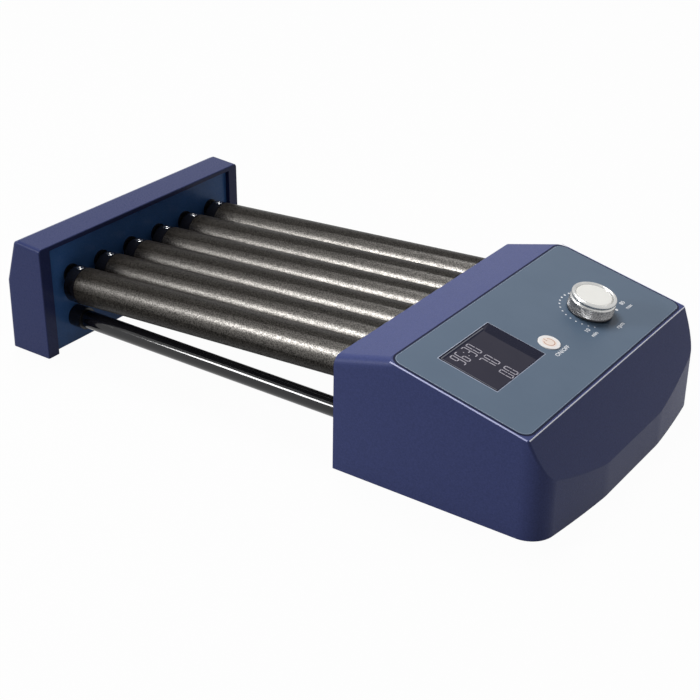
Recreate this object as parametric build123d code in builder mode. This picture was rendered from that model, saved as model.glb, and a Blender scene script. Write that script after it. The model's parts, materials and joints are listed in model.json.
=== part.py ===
from build123d import *
from math import acos, atan, atan2, cos, hypot, pi, radians, sin, sqrt, tan
import os

os.makedirs("parts", exist_ok=True)

# Millimetres. The drive head stands at +X, the end cover at -X, the rollers run along X between them.
# Y is the width with the near side at -Y, and Z = 0 is the table top.

# Overall
FOOT_HEIGHT = 5.0
WIDTH = 250.0
HALF_WIDTH = WIDTH / 2
OVERALL_LENGTH = 511.0
BOTTOM = FOOT_HEIGHT
WALL = 3.0

# Drive head, measured from its back face and its bottom edge
HEAD_LENGTH = 176.8
HEAD_FRONT_X = OVERALL_LENGTH / 2
HEAD_BACK_X = HEAD_FRONT_X - HEAD_LENGTH
HEAD_BACK_HEIGHT = 92.0
HEAD_BACK_DRAFT = 1.1
HEAD_HEEL_X = HEAD_BACK_X - HEAD_BACK_DRAFT
HEAD_CREST = (43.4, 102.7)
HEAD_PANEL_FRONT = (155.0, 77.0)
HEAD_FRONT_RAKE = 0.444
HEAD_FLAT_HALF = 43.5
HEAD_WING_MIDDLE_DROP = 4.05
WING_END_X = HEAD_FRONT_X - 9.95
HEAD_WING_BLEND = 80.0
HEAD_CORNER_RADIUS = 19.4
HEAD_STRIP_FILLET = 7.5
HEAD_EDGE_FILLET = 1.0
HEAD_RIDGE_FILLET = 2.0
HEAD_BLOCK_HEIGHT = 140.0

# Panel, its places given as (y, distance down from the crest) and lifts along its normal
PANEL_SLOPE = atan2(HEAD_CREST[1] - HEAD_PANEL_FRONT[1], HEAD_PANEL_FRONT[0] - HEAD_CREST[0])
PANEL_NORMAL = (sin(PANEL_SLOPE), 0, cos(PANEL_SLOPE))
PANEL_DOWN = (cos(PANEL_SLOPE), 0, -sin(PANEL_SLOPE))
OVERLAY_FROM, OVERLAY_TO = 1.8, 111.5
OVERLAY_WIDTH = 243.2
OVERLAY_CORNER = 8.0
OVERLAY_SEAT = 0.3
OVERLAY_THICKNESS = 0.6
OVERLAY_GAP = 0.2
DISPLAY_Y = (-94.0, -26.6)
DISPLAY_S = (23.0, 71.7)
WINDOW_THICKNESS = 1.6
WINDOW_LEDGE = 3.0
WINDOW_GAP = 0.2
WINDOW_PROUD = 0.1
BUTTON_AT = (-11.5, 66.7)
BUTTON_RADIUS = 8.5
BUTTON_GAP = 0.35
BUTTON_PROUD = 0.9
BUTTON_STEM_RADIUS = 2.0
BUTTON_STEM_END = -7.1
BUTTON_CHAMFER = 0.3
BUTTON_FLANGE_RADIUS = 10.3
BUTTON_FLANGE_THICKNESS = 1.2
BUTTON_FLANGE_GAP = 0.4
SWITCH_SIZE = 6.0
SWITCH_HEIGHT = 3.4
SWITCH_PLUNGER = (1.75, 3.7)
KNOB_AT = (53.65, 65.8)
BOARD_LIFT = -13.6
BOARD_THICKNESS = 1.6
BOARD_SIZE = (184.0, 78.0)
BOARD_MIDDLE = (-14.0, -55.0)
BOARD_HOLES = [(y, s) for y in (-100.0, 72.0) for s in (22.0, 88.0)]
BOARD_STANDOFF_RADIUS = 3.0
BOARD_PEG_RADIUS = 1.5
BOARD_PEG_GAP = 0.1
BOARD_PEG_TIP = 0.4
BOARD_CORNER = 3.0
BOARD_CHIPS = [(-60.0, -50.0, 14.0, 14.0), (-20.0, -40.0, 10.0, 6.0), (20.0, -40.0, 10.0, 6.0)]
BOARD_CHIP_HEIGHT = 2.0
BOARD_SOCKET = (40.0, -30.0, 20.0, 8.0)
BOARD_CAPACITOR = (0.0, -80.0, 4.0)
BOARD_TALL_HEIGHT = 9.0
DISPLAY_MODULE_GAP = 0.3
DISPLAY_MODULE_MARGIN = 0.5

# Encoder and knob, whose profile is (radius, lift): hollow foot, base ring, skirt, neck, rim, seat of the cap
ENCODER_SIZE = 13.0
ENCODER_BUSHING_RADIUS = 3.4
ENCODER_BUSHING_TOP = 3.2
ENCODER_NUT = (5.6, 2.2)
ENCODER_SHAFT_RADIUS = 2.5
ENCODER_SHAFT_SPAN = (-7.5, 11.0)
ENCODER_GAP = 0.6
SHAFT_END_GAP = 0.2
KNOB_PROFILE = [
    (0, 3.8), (16.4, 3.8), (16.4, 1.0), (20.0, 1.0), (20.2, 1.7), (19.9, 2.4), (18.9, 2.4), (18.9, 10.2),
    (18.0, 10.8), (18.0, 11.5), (19.1, 12.4), (19.1, 13.8), (18.3, 14.8), (16.5, 14.8), (15.4, 14.0),
    (15.4, 13.0), (0, 13.0),
]
KNOB_FOOT_LIFT = 3.8
KNOB_CAP_LIFT = 13.0
KNOB_CAP_RADIUS = 15.35
KNOB_CAP_THICKNESS = 1.0
KNOB_CAP_CHAMFER = 0.3
KNURL_COUNT = 72
KNURL_SPAN = (2.4, 10.2)
KNURL_RADII = (19.05, 19.55)
KNURL_CORE_RADIUS = 18.5

# Rollers, whose own axes are tilted about the point where they cross the bearings' line
ROLLER_COUNT = 6
ROLLER_PITCH = 35.6
ROLLER_RADIUS = 15.5
ROLLER_CROSSING_X = -70.3
ROLLER_SPAN = (-139.8, 146.0)
ROLLER_TILT = atan(0.055)
ROLLER_AXIS_Z = BOTTOM + 64.0
ROLLER_Y = [(i - (ROLLER_COUNT - 1) / 2) * ROLLER_PITCH for i in range(ROLLER_COUNT)]
SLEEVE_BORE_RADIUS = 12.2
IDLER_CAP_LENGTH = 11.5
DRIVEN_CAP_LENGTH = 2.0
CAP_JOINT_GAP = 0.4
CAP_CHAMFER = 0.7
SPIGOT_LENGTH = 12.0
JOURNAL_RADIUS = 4.0
RUNNING_FIT = 0.05
CAP_SCREW_AT = -133.2
CAP_SCREW_RADIUS = 2.9
CAP_SCREW_SINK = 0.35
CAP_SCREW_LENGTH = 3.6
CAP_SCREW_RIM = 0.5

# Drive train behind the back wall of the head
PLATE_X = HEAD_BACK_X + 5.0
PLATE_THICKNESS = 4.0
PLATE_HALF_WIDTH = 112.0
PLATE_CORNER = 4.0
PLATE_Z = (BOTTOM + 9.0, BOTTOM + 84.0)
DRIVE_PAD_PLACES = [(y, z) for y in (-107.0, 107.0) for z in (BOTTOM + 17.0, BOTTOM + 77.0)]
GEAR_X = HEAD_BACK_X + 12.0
GEAR_WIDTH = 8.0
GEAR_MODULE = 1.5
ROLLER_TEETH = 16
TRANSFER_TEETH = 14
PINION_TEETH = 12
TOOTH_THINNING = 0.10
PRESSURE_ANGLE = radians(20)
ADDENDUM = 0.8 * GEAR_MODULE
DEDENDUM = 1.05 * GEAR_MODULE
HUB_RADIUS = 7.0
HUB_LENGTH = 4.0
HUB_SCREW_RADIUS = 1.2
PRESS_GAP = 0.02
TRANSFER_HUB_RADIUS = 6.0
TRANSFER_HUB_GAP = 0.4
TRANSFER_DISTANCE = GEAR_MODULE * (ROLLER_TEETH + TRANSFER_TEETH) / 2
PINION_DISTANCE = GEAR_MODULE * (TRANSFER_TEETH + PINION_TEETH) / 2
TRANSFER_DROP = sqrt(TRANSFER_DISTANCE**2 - (ROLLER_PITCH / 2) ** 2)
TRANSFER_Y = [y + ROLLER_PITCH / 2 for y in ROLLER_Y[:-1]]
TRANSFER_Z = ROLLER_AXIS_Z - TRANSFER_DROP
MIDDLE_TRANSFER = 2
PINION_Z = TRANSFER_Z - PINION_DISTANCE
JOURNAL_HEAD_END_X = HEAD_BACK_X + 25.0
JOURNAL_COVER_STUB = 1.2
BUSH_RADIUS = 6.5
JOURNAL_HOLE_LESS = 0.5
BUSH_FLANGE_RADIUS = 8.5
BUSH_FLANGE = 1.5
PIN_RADIUS = 3.0
PIN_THREAD_RADIUS = 2.5
PIN_TIP_INSET = 0.5
PIN_HEAD_RADIUS = 5.0
PIN_HEAD_HEIGHT = 2.5
PIN_END_GAP = 0.3
MOTOR_PLATE_X = HEAD_BACK_X + 29.0
MOTOR_PLATE_THICKNESS = 3.0
MOTOR_PLATE_Z = (BOTTOM + 5.5, BOTTOM + 55.0)
MOTOR_PLATE_SIZE = (68.0, MOTOR_PLATE_Z[1] - MOTOR_PLATE_Z[0])
MOTOR_PLATE_CORNER = 5.0
STANDOFF_PLACES = [(y, z) for y in (-27.0, 27.0) for z in (BOTTOM + 12.0, BOTTOM + 36.0)]
STANDOFF_RADIUS = 4.0
STANDOFF_SPIGOT_RADIUS = 3.0
STANDOFF_THREAD_DEPTH = 8.0
MOTOR_SCREW_DEPTH = 6.0
GEARBOX_RADIUS = 18.5
GEARBOX_LENGTH = 26.0
GEARBOX_NOSE_RADIUS = 6.0
MOTOR_RADIUS = 17.5
MOTOR_LENGTH = 34.0
MOTOR_CHAMFER = 1.5
MOTOR_TAIL_RADIUS = 5.0
MOTOR_LUG_Y = 11.0
MOTOR_LUG_SIZE = (1.0, 4.0)
MOTOR_TAIL_LENGTH = 4.0
MOTOR_SHAFT_RADIUS = 3.0
MOTOR_SHAFT_DEPTH = 6.0
MOTOR_SCREW_CIRCLE = 14.5
MOTOR_SCREW_RADIUS = 1.5
MOTOR_SCREW_HEAD = (2.75, 2.2)
MOTOR_SCREW_PLACES = [
    (MOTOR_SCREW_CIRCLE * cos(radians(angle)), PINION_Z + MOTOR_SCREW_CIRCLE * sin(radians(angle)))
    for angle in (45, 135, 225, 315)
]
MOTOR_FACE_X = MOTOR_PLATE_X + MOTOR_PLATE_THICKNESS

# Support rods
ROD_RADIUS = 7.6
ROD_Y = 87.0
ROD_Z = BOTTOM + 24.9
ROD_STUB_RADIUS = 5.0
ROD_HOLE_GAP = 0.6
ROD_COLLAR_RADIUS = 9.4
ROD_COLLAR_LENGTHS = (12.5, 2.0)
ROD_NUT_FLATS = 16.0
ROD_NUT_LENGTH = 8.0
ROD_WASHER = (10.0, 1.5)
ROD_END_BEYOND = 2.0

# End cover
COVER_FOOT_X = -OVERALL_LENGTH / 2
COVER_RIM_X = COVER_FOOT_X + 43.4
COVER_TOP_HEIGHT = 97.6
COVER_SHOULDER = (COVER_FOOT_X + 17.8, 99.6)
COVER_OUTER_TOP = (COVER_FOOT_X + 13.2, 97.6)
COVER_RIDGE = (COVER_FOOT_X + 1.7, 61.7)
COVER_SHOULDER_FILLET = 2.0
COVER_SIDE_FILLET = 3.6
COVER_RIM_FILLET = 1.0
COVER_RIM_SIDE = 11.5
COVER_RIM_TOP = 4.0
INNER_PLATE_X = COVER_FOOT_X + 39.8
INNER_PLATE_THICKNESS = 3.0
INNER_PLATE_BACK_X = INNER_PLATE_X - INNER_PLATE_THICKNESS
INNER_PLATE_LIFT = 1.9
INNER_PLATE_FLANGE = 32.0
INNER_PLATE_GAP = 0.3
COVER_STEP_GAP = 1.5

# Feet and screws
HEAD_FEET = [(x, y) for x in (HEAD_BACK_X + 27.0, HEAD_BACK_X + 147.0) for y in (-92.0, 92.0)]
COVER_FEET = [(COVER_FOOT_X + 16.7, y) for y in (-92.0, 92.0)]
HEAD_FOOT_RADIUS = 8.0
COVER_FOOT_RADIUS = 7.0
FOOT_TAPER = -6
BASE_PLATE_THICKNESS = 2.5
BASE_PLATE_LIFT = 0.5
BASE_PLATE_GAP = 0.5
BASE_PLATE_BOTTOM = BOTTOM + BASE_PLATE_LIFT
HEAD_SCREWS = [(x, y) for x in (HEAD_BACK_X + 19.0, HEAD_BACK_X + 137.0) for y in (-117.5, 117.5)]
COVER_SCREWS = [(COVER_FOOT_X + 22.2, y) for y in (-107.5, 107.5)]
BOSS_RADIUS = 5.0
BOSS_TOP = BOTTOM + 22.0
BOSS_HOLE_DEPTH = 20.0
BOSS_WEB = (3.0, 16.0)
SCREW_RADIUS = 2.0
SCREW_HEAD_RADIUS = 3.6
SCREW_HEAD_HEIGHT = 2.4
SCREW_LENGTH = 12.0
SCREW_GAP = 0.05
SOCKET_RADIUS = 1.5
SOCKET_DEPTH = 1.4

# Supply inlet on the far side of the head
INLET_AT = (HEAD_BACK_X + 103.0, BOTTOM + 24.0)
INLET_RADIUS = 5.5
INLET_DEPTH = 16.0
INLET_PROUD = 0.3
INLET_SOCKET = (3.0, 10.0)
INLET_PIN_RADIUS = 1.0
INLET_NUT = (8.5, 3.0)


def panel_plane(lift=0.0):
    """Plane on the panel: its x is the width, its y points up the slope, its origin is the crest's middle."""
    origin = Vector(HEAD_BACK_X + HEAD_CREST[0], 0, BOTTOM + HEAD_CREST[1])
    return Plane(origin=origin + Vector(*PANEL_NORMAL) * lift, x_dir=(0, 1, 0), z_dir=PANEL_NORMAL)


def panel_point(y, s, lift=0.0):
    return panel_plane(lift).from_local_coords(Vector(y, -s, 0))


def front_plane(inset):
    """Plane of the slanted front face, its normal pointing away from the head."""
    edge = Vector(HEAD_BACK_X + HEAD_PANEL_FRONT[0], 0, BOTTOM + HEAD_PANEL_FRONT[1])
    normal = Vector(1, 0, HEAD_FRONT_RAKE).normalized()
    return Plane(origin=edge - normal * inset, x_dir=(0, 1, 0), z_dir=normal)


def head_outline(inset):
    """Plan of the head: straight back and sides, and a front with a flat middle between two swept wings."""
    with BuildSketch() as outline:
        with BuildLine():
            for side in (-1, 1):
                kink = (HEAD_FRONT_X, side * HEAD_FLAT_HALF)
                middle = (HEAD_FRONT_X - HEAD_WING_MIDDLE_DROP, side * (HEAD_FLAT_HALF + HALF_WIDTH) / 2)
                end = (WING_END_X, side * HALF_WIDTH)
                ThreePointArc(kink, middle, end)
                Polyline(end, (HEAD_HEEL_X, side * HALF_WIDTH), (HEAD_HEEL_X, 0))
            Line((HEAD_FRONT_X, -HEAD_FLAT_HALF), (HEAD_FRONT_X, HEAD_FLAT_HALF))
        make_face()
        fillet(outline.vertices().group_by(Axis.X)[-1], radius=HEAD_WING_BLEND)
        wing_ends = outline.vertices().filter_by_position(Axis.X, WING_END_X - 1, WING_END_X + 1)
        fillet(wing_ends, radius=HEAD_CORNER_RADIUS)
        if inset:
            offset(amount=-inset)
    return outline.sketch


def head_form(inset):
    """Solid form of the head with every wall moved inwards by the inset, and its bottom lowered a little."""
    low = -inset
    strip_slope = (HEAD_CREST[1] - HEAD_BACK_HEIGHT) / HEAD_CREST[0]
    strip_back = HEAD_BACK_HEIGHT - inset * hypot(1, strip_slope) + inset * strip_slope
    reach = HEAD_LENGTH + HEAD_EDGE_FILLET
    with BuildPart() as form:
        # The raked strip runs on to the front here, so that its side fillets are cut off by the panel.
        with BuildSketch(Plane.XZ):
            with Locations((HEAD_BACK_X, BOTTOM)):
                Polygon(
                    (inset - HEAD_BACK_DRAFT, low),
                    (inset, strip_back),
                    (reach, strip_back + strip_slope * (reach - inset)),
                    (reach, low),
                    align=None,
                )
        extrude(amount=HALF_WIDTH - inset, both=True)
        strip = form.faces().sort_by(Axis.Z)[-1]
        fillet(strip.edges().filter_by(Axis.Y, reverse=True), radius=HEAD_STRIP_FILLET - inset)
        # Walls in plan.
        with BuildSketch(Plane.XY.offset(BOTTOM + low)):
            add(head_outline(inset))
        extrude(amount=HEAD_BLOCK_HEIGHT, mode=Mode.INTERSECT)
        # Everything above the panel and ahead of the slanted front face goes.
        for plane in (panel_plane(-inset), front_plane(inset)):
            with BuildSketch(plane):
                Rectangle(2 * WIDTH, 2 * HEAD_LENGTH)
            extrude(amount=HEAD_BLOCK_HEIGHT, mode=Mode.SUBTRACT)
    return form.part


def gear_points(teeth, phase):
    """Corners of a spur gear with flat thinned teeth, round its own centre; one tooth stands at the phase."""
    pitch_radius = GEAR_MODULE * teeth / 2
    base_radius = pitch_radius * cos(PRESSURE_ANGLE)
    root_radius = pitch_radius - DEDENDUM
    tip_radius = pitch_radius + ADDENDUM
    tip_angle = acos(base_radius / tip_radius)
    pitch_half = pi / (2 * teeth) * (1 - TOOTH_THINNING)
    base_half = pitch_half + tan(PRESSURE_ANGLE) - PRESSURE_ANGLE
    tip_half = base_half - (tan(tip_angle) - tip_angle)
    points = []
    flank = [(root_radius, base_half), (tip_radius, tip_half)]
    tooth = [(radius, -half) for radius, half in flank] + flank[::-1]
    for k in range(teeth):
        middle = phase + 2 * pi * k / teeth
        for radius, half in tooth:
            points.append((radius * cos(middle + half), radius * sin(middle + half)))
    return points


def meshing_phase(phase, teeth, direction, other_teeth):
    """Phase of a gear that meshes with another one standing in the given direction from it."""
    turns = 0.5 - (direction - phase) * teeth / (2 * pi)
    return direction + pi - turns * 2 * pi / other_teeth


def roller_plane(y, along):
    """Plane across a roller at a distance from its crossing, its normal along the roller's own axis."""
    direction = Vector(cos(ROLLER_TILT), 0, sin(ROLLER_TILT))
    origin = Vector(ROLLER_CROSSING_X, y, ROLLER_AXIS_Z) + direction * along
    return Plane(origin=origin, x_dir=(0, 1, 0), z_dir=direction)


def cap_screw_plane(y, height):
    """Plane over the idler end's cap, square to the roller's axis and at a height above it."""
    direction = Vector(cos(ROLLER_TILT), 0, sin(ROLLER_TILT))
    up = Vector(-sin(ROLLER_TILT), 0, cos(ROLLER_TILT))
    origin = Vector(ROLLER_CROSSING_X, y, ROLLER_AXIS_Z) + direction * CAP_SCREW_AT + up * height
    return Plane(origin=origin, x_dir=(0, 1, 0), z_dir=up)


# Phases of the gears, carried from the first roller gear along the train.
mesh_direction = atan2(TRANSFER_DROP, ROLLER_PITCH / 2)
roller_phases = [0.0]
transfer_phases = []
for i in range(ROLLER_COUNT - 1):
    transfer_phases.append(meshing_phase(roller_phases[i], ROLLER_TEETH, -mesh_direction, TRANSFER_TEETH))
    roller_phases.append(meshing_phase(transfer_phases[i], TRANSFER_TEETH, mesh_direction, ROLLER_TEETH))
pinion_phase = meshing_phase(transfer_phases[MIDDLE_TRANSFER], TRANSFER_TEETH, -pi / 2, PINION_TEETH)

# Housing of the drive head
head_outer = head_form(0.0)
head_inner = head_form(WALL)
OVERLAY_MIDDLE = (0, -(OVERLAY_FROM + OVERLAY_TO) / 2)
OVERLAY_SIZE = (OVERLAY_WIDTH, OVERLAY_TO - OVERLAY_FROM)
OVERLAY_TOP = OVERLAY_THICKNESS - OVERLAY_SEAT
DISPLAY_MIDDLE = (sum(DISPLAY_Y) / 2, -sum(DISPLAY_S) / 2)
DISPLAY_SIZE = (DISPLAY_Y[1] - DISPLAY_Y[0], DISPLAY_S[1] - DISPLAY_S[0])
DISPLAY_OPENING = (DISPLAY_SIZE[0] - 2 * WINDOW_LEDGE, DISPLAY_SIZE[1] - 2 * WINDOW_LEDGE)
WINDOW_TOP = OVERLAY_TOP + WINDOW_PROUD
WINDOW_SEAT = WINDOW_TOP - WINDOW_THICKNESS
BUTTON_CENTRE = (BUTTON_AT[0], -BUTTON_AT[1])
KNOB_CENTRE = (KNOB_AT[0], -KNOB_AT[1])
SHAFT_CLEARANCE = 0.3
PANEL_OVERCUT = 0.4

with BuildPart() as head_shell:
    add(head_outer)
    # Rounded ridge between the slanted face and the front walls, then the rounded rim of the panel.
    slanted_face = head_shell.faces().sort_by(lambda f: f.normal_at().dot(front_plane(0).z_dir))[-1]
    ridge = slanted_face.edges().filter_by(lambda e: e.center().Z < BOTTOM + HEAD_PANEL_FRONT[1] - 1)
    fillet(ridge, radius=HEAD_RIDGE_FILLET)
    panel_face = head_shell.faces().sort_by(lambda f: f.normal_at().dot(Vector(*PANEL_NORMAL)))[-1]
    fillet(panel_face.edges(), radius=HEAD_EDGE_FILLET)
    add(head_inner, mode=Mode.SUBTRACT)
    # Bosses for the base screws grow out of the side walls.
    with BuildSketch(Plane.XY.offset(BOTTOM + BASE_PLATE_LIFT + BASE_PLATE_THICKNESS)):
        with Locations(*HEAD_SCREWS):
            Circle(BOSS_RADIUS)
    extrude(amount=BOSS_TOP - BOTTOM - BASE_PLATE_LIFT - BASE_PLATE_THICKNESS)
    with BuildSketch(Plane.XY.offset(BOTTOM)):
        with Locations(*HEAD_SCREWS):
            Circle(SCREW_RADIUS + SCREW_GAP)
    extrude(amount=BOSS_HOLE_DEPTH, mode=Mode.SUBTRACT)
    # Pads that hold the drive plate off the back wall.
    with BuildSketch(Plane.YZ.offset(HEAD_BACK_X + WALL / 2)):
        with Locations(*DRIVE_PAD_PLACES):
            Circle(BOSS_RADIUS)
    extrude(amount=PLATE_X - HEAD_BACK_X - WALL / 2)
    with BuildSketch(Plane.YZ.offset(PLATE_X)):
        with Locations(*DRIVE_PAD_PLACES):
            Circle(SCREW_RADIUS + SCREW_GAP)
    extrude(amount=-(PLATE_X - HEAD_BACK_X - 1), mode=Mode.SUBTRACT)
    # Clearance holes for the journals and the rods.
    with BuildSketch(Plane.YZ.offset(HEAD_HEEL_X)):
        with Locations(*[(y, ROLLER_AXIS_Z) for y in ROLLER_Y]):
            Circle(BUSH_RADIUS - JOURNAL_HOLE_LESS)
        with Locations((-ROD_Y, ROD_Z), (ROD_Y, ROD_Z)):
            Circle(ROD_RADIUS + ROD_HOLE_GAP)
    extrude(amount=WALL + HEAD_BACK_DRAFT, mode=Mode.SUBTRACT)
    # Seat of the overlay, seat and opening of the display, holes for the button and the knob.
    with BuildSketch(panel_plane(-OVERLAY_SEAT)):
        with Locations(OVERLAY_MIDDLE):
            RectangleRounded(*OVERLAY_SIZE, OVERLAY_CORNER)
        offset(amount=OVERLAY_GAP)
    extrude(amount=WALL, mode=Mode.SUBTRACT)
    with BuildSketch(panel_plane(WINDOW_SEAT)):
        with Locations(DISPLAY_MIDDLE):
            Rectangle(DISPLAY_SIZE[0] + 2 * WINDOW_GAP, DISPLAY_SIZE[1] + 2 * WINDOW_GAP)
    extrude(amount=WALL, mode=Mode.SUBTRACT)
    with BuildSketch(panel_plane(-OVERLAY_SEAT)):
        with Locations(DISPLAY_MIDDLE):
            Rectangle(*DISPLAY_OPENING)
        with Locations(BUTTON_CENTRE):
            Circle(BUTTON_RADIUS + BUTTON_GAP)
        with Locations(KNOB_CENTRE):
            Circle(ENCODER_BUSHING_RADIUS + SHAFT_CLEARANCE)
    extrude(amount=-WALL - PANEL_OVERCUT, mode=Mode.SUBTRACT)
    # Hole for the supply inlet in the far side wall.
    with BuildSketch(Plane.XZ.offset(-HALF_WIDTH)):
        with Locations(INLET_AT):
            Circle(INLET_RADIUS + RUNNING_FIT)
    extrude(amount=WALL + 1, mode=Mode.SUBTRACT)
head_shell.part.label = "head_shell"
export_step(head_shell.part, "parts/head_shell.step")

with BuildPart() as head_base_plate:
    with BuildSketch(Plane.XY.offset(BASE_PLATE_BOTTOM)):
        add(head_outline(WALL + BASE_PLATE_GAP))
        with Locations(*HEAD_SCREWS):
            Circle(SCREW_RADIUS + SCREW_GAP, mode=Mode.SUBTRACT)
    extrude(amount=BASE_PLATE_THICKNESS)
head_base_plate.part.label = "head_base_plate"
export_step(head_base_plate.part, "parts/head_base_plate.step")

with BuildPart() as head_feet:
    with BuildSketch():
        with Locations(*HEAD_FEET):
            Circle(HEAD_FOOT_RADIUS)
    extrude(amount=BASE_PLATE_BOTTOM, taper=FOOT_TAPER)
head_feet.part.label = "head_feet"
export_step(head_feet.part, "parts/head_feet.step")

# Drive plate with its bushes, and the pins of the transfer gears
with BuildPart() as drive_plate:
    with BuildSketch(Plane.YZ.offset(PLATE_X)):
        with Locations((0, sum(PLATE_Z) / 2)):
            RectangleRounded(2 * PLATE_HALF_WIDTH, PLATE_Z[1] - PLATE_Z[0], PLATE_CORNER)
        with Locations(*[(y, ROLLER_AXIS_Z) for y in ROLLER_Y]):
            Circle(BUSH_RADIUS, mode=Mode.SUBTRACT)
        with Locations(*[(y, TRANSFER_Z) for y in TRANSFER_Y]):
            Circle(PIN_THREAD_RADIUS + SCREW_GAP, mode=Mode.SUBTRACT)
        with Locations((-ROD_Y, ROD_Z), (ROD_Y, ROD_Z)):
            Circle(ROD_STUB_RADIUS + SCREW_GAP, mode=Mode.SUBTRACT)
        with Locations(*DRIVE_PAD_PLACES):
            Circle(SCREW_RADIUS + SCREW_GAP, mode=Mode.SUBTRACT)
        with Locations(*STANDOFF_PLACES):
            Circle(STANDOFF_SPIGOT_RADIUS + SCREW_GAP, mode=Mode.SUBTRACT)
    extrude(amount=PLATE_THICKNESS)
drive_plate.part.label = "drive_plate"
export_step(drive_plate.part, "parts/drive_plate.step")

with BuildPart() as drive_bushes:
    for y in ROLLER_Y:
        with BuildSketch(Plane.YZ.offset(PLATE_X - BUSH_FLANGE)):
            with Locations((y, ROLLER_AXIS_Z)):
                Circle(BUSH_FLANGE_RADIUS)
        extrude(amount=BUSH_FLANGE)
        with BuildSketch(Plane.YZ.offset(PLATE_X)):
            with Locations((y, ROLLER_AXIS_Z)):
                Circle(BUSH_RADIUS - PRESS_GAP)
        extrude(amount=GEAR_X - PLATE_X - TRANSFER_HUB_GAP)
        with BuildSketch(Plane.YZ.offset(PLATE_X - BUSH_FLANGE)):
            with Locations((y, ROLLER_AXIS_Z)):
                Circle(JOURNAL_RADIUS + RUNNING_FIT)
        extrude(amount=GEAR_X - PLATE_X + BUSH_FLANGE, mode=Mode.SUBTRACT)
drive_bushes.part.label = "drive_bushes"
export_step(drive_bushes.part, "parts/drive_bushes.step")

with BuildPart() as transfer_pins:
    for y in TRANSFER_Y:
        with BuildSketch(Plane.YZ.offset(PLATE_X + PIN_TIP_INSET)):
            with Locations((y, TRANSFER_Z)):
                Circle(PIN_THREAD_RADIUS)
        extrude(amount=PLATE_THICKNESS - PIN_TIP_INSET)
        with BuildSketch(Plane.YZ.offset(PLATE_X + PLATE_THICKNESS)):
            with Locations((y, TRANSFER_Z)):
                Circle(PIN_RADIUS)
        extrude(amount=GEAR_X + GEAR_WIDTH + PIN_END_GAP - PLATE_X - PLATE_THICKNESS)
        with BuildSketch(Plane.YZ.offset(GEAR_X + GEAR_WIDTH + PIN_END_GAP)):
            with Locations((y, TRANSFER_Z)):
                Circle(PIN_HEAD_RADIUS)
        extrude(amount=PIN_HEAD_HEIGHT)
        with BuildSketch(Plane.YZ.offset(GEAR_X + GEAR_WIDTH + PIN_END_GAP + PIN_HEAD_HEIGHT)):
            with Locations((y, TRANSFER_Z)):
                RegularPolygon(SOCKET_RADIUS, 6)
        extrude(amount=-SOCKET_DEPTH, mode=Mode.SUBTRACT)
transfer_pins.part.label = "transfer_pins"
export_step(transfer_pins.part, "parts/transfer_pins.step")

with BuildPart() as drive_plate_screws:
    for y, z in DRIVE_PAD_PLACES:
        with BuildSketch(Plane.YZ.offset(PLATE_X + PLATE_THICKNESS)):
            with Locations((y, z)):
                Circle(SCREW_HEAD_RADIUS)
        extrude(amount=SCREW_HEAD_HEIGHT)
        with BuildSketch(Plane.YZ.offset(PLATE_X + PLATE_THICKNESS)):
            with Locations((y, z)):
                Circle(SCREW_RADIUS)
        extrude(amount=-(PLATE_X + PLATE_THICKNESS - HEAD_BACK_X - WALL / 2))
        with BuildSketch(Plane.YZ.offset(PLATE_X + PLATE_THICKNESS + SCREW_HEAD_HEIGHT)):
            with Locations((y, z)):
                RegularPolygon(SOCKET_RADIUS, 6)
        extrude(amount=-SOCKET_DEPTH, mode=Mode.SUBTRACT)
drive_plate_screws.part.label = "drive_plate_screws"
export_step(drive_plate_screws.part, "parts/drive_plate_screws.step")

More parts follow.
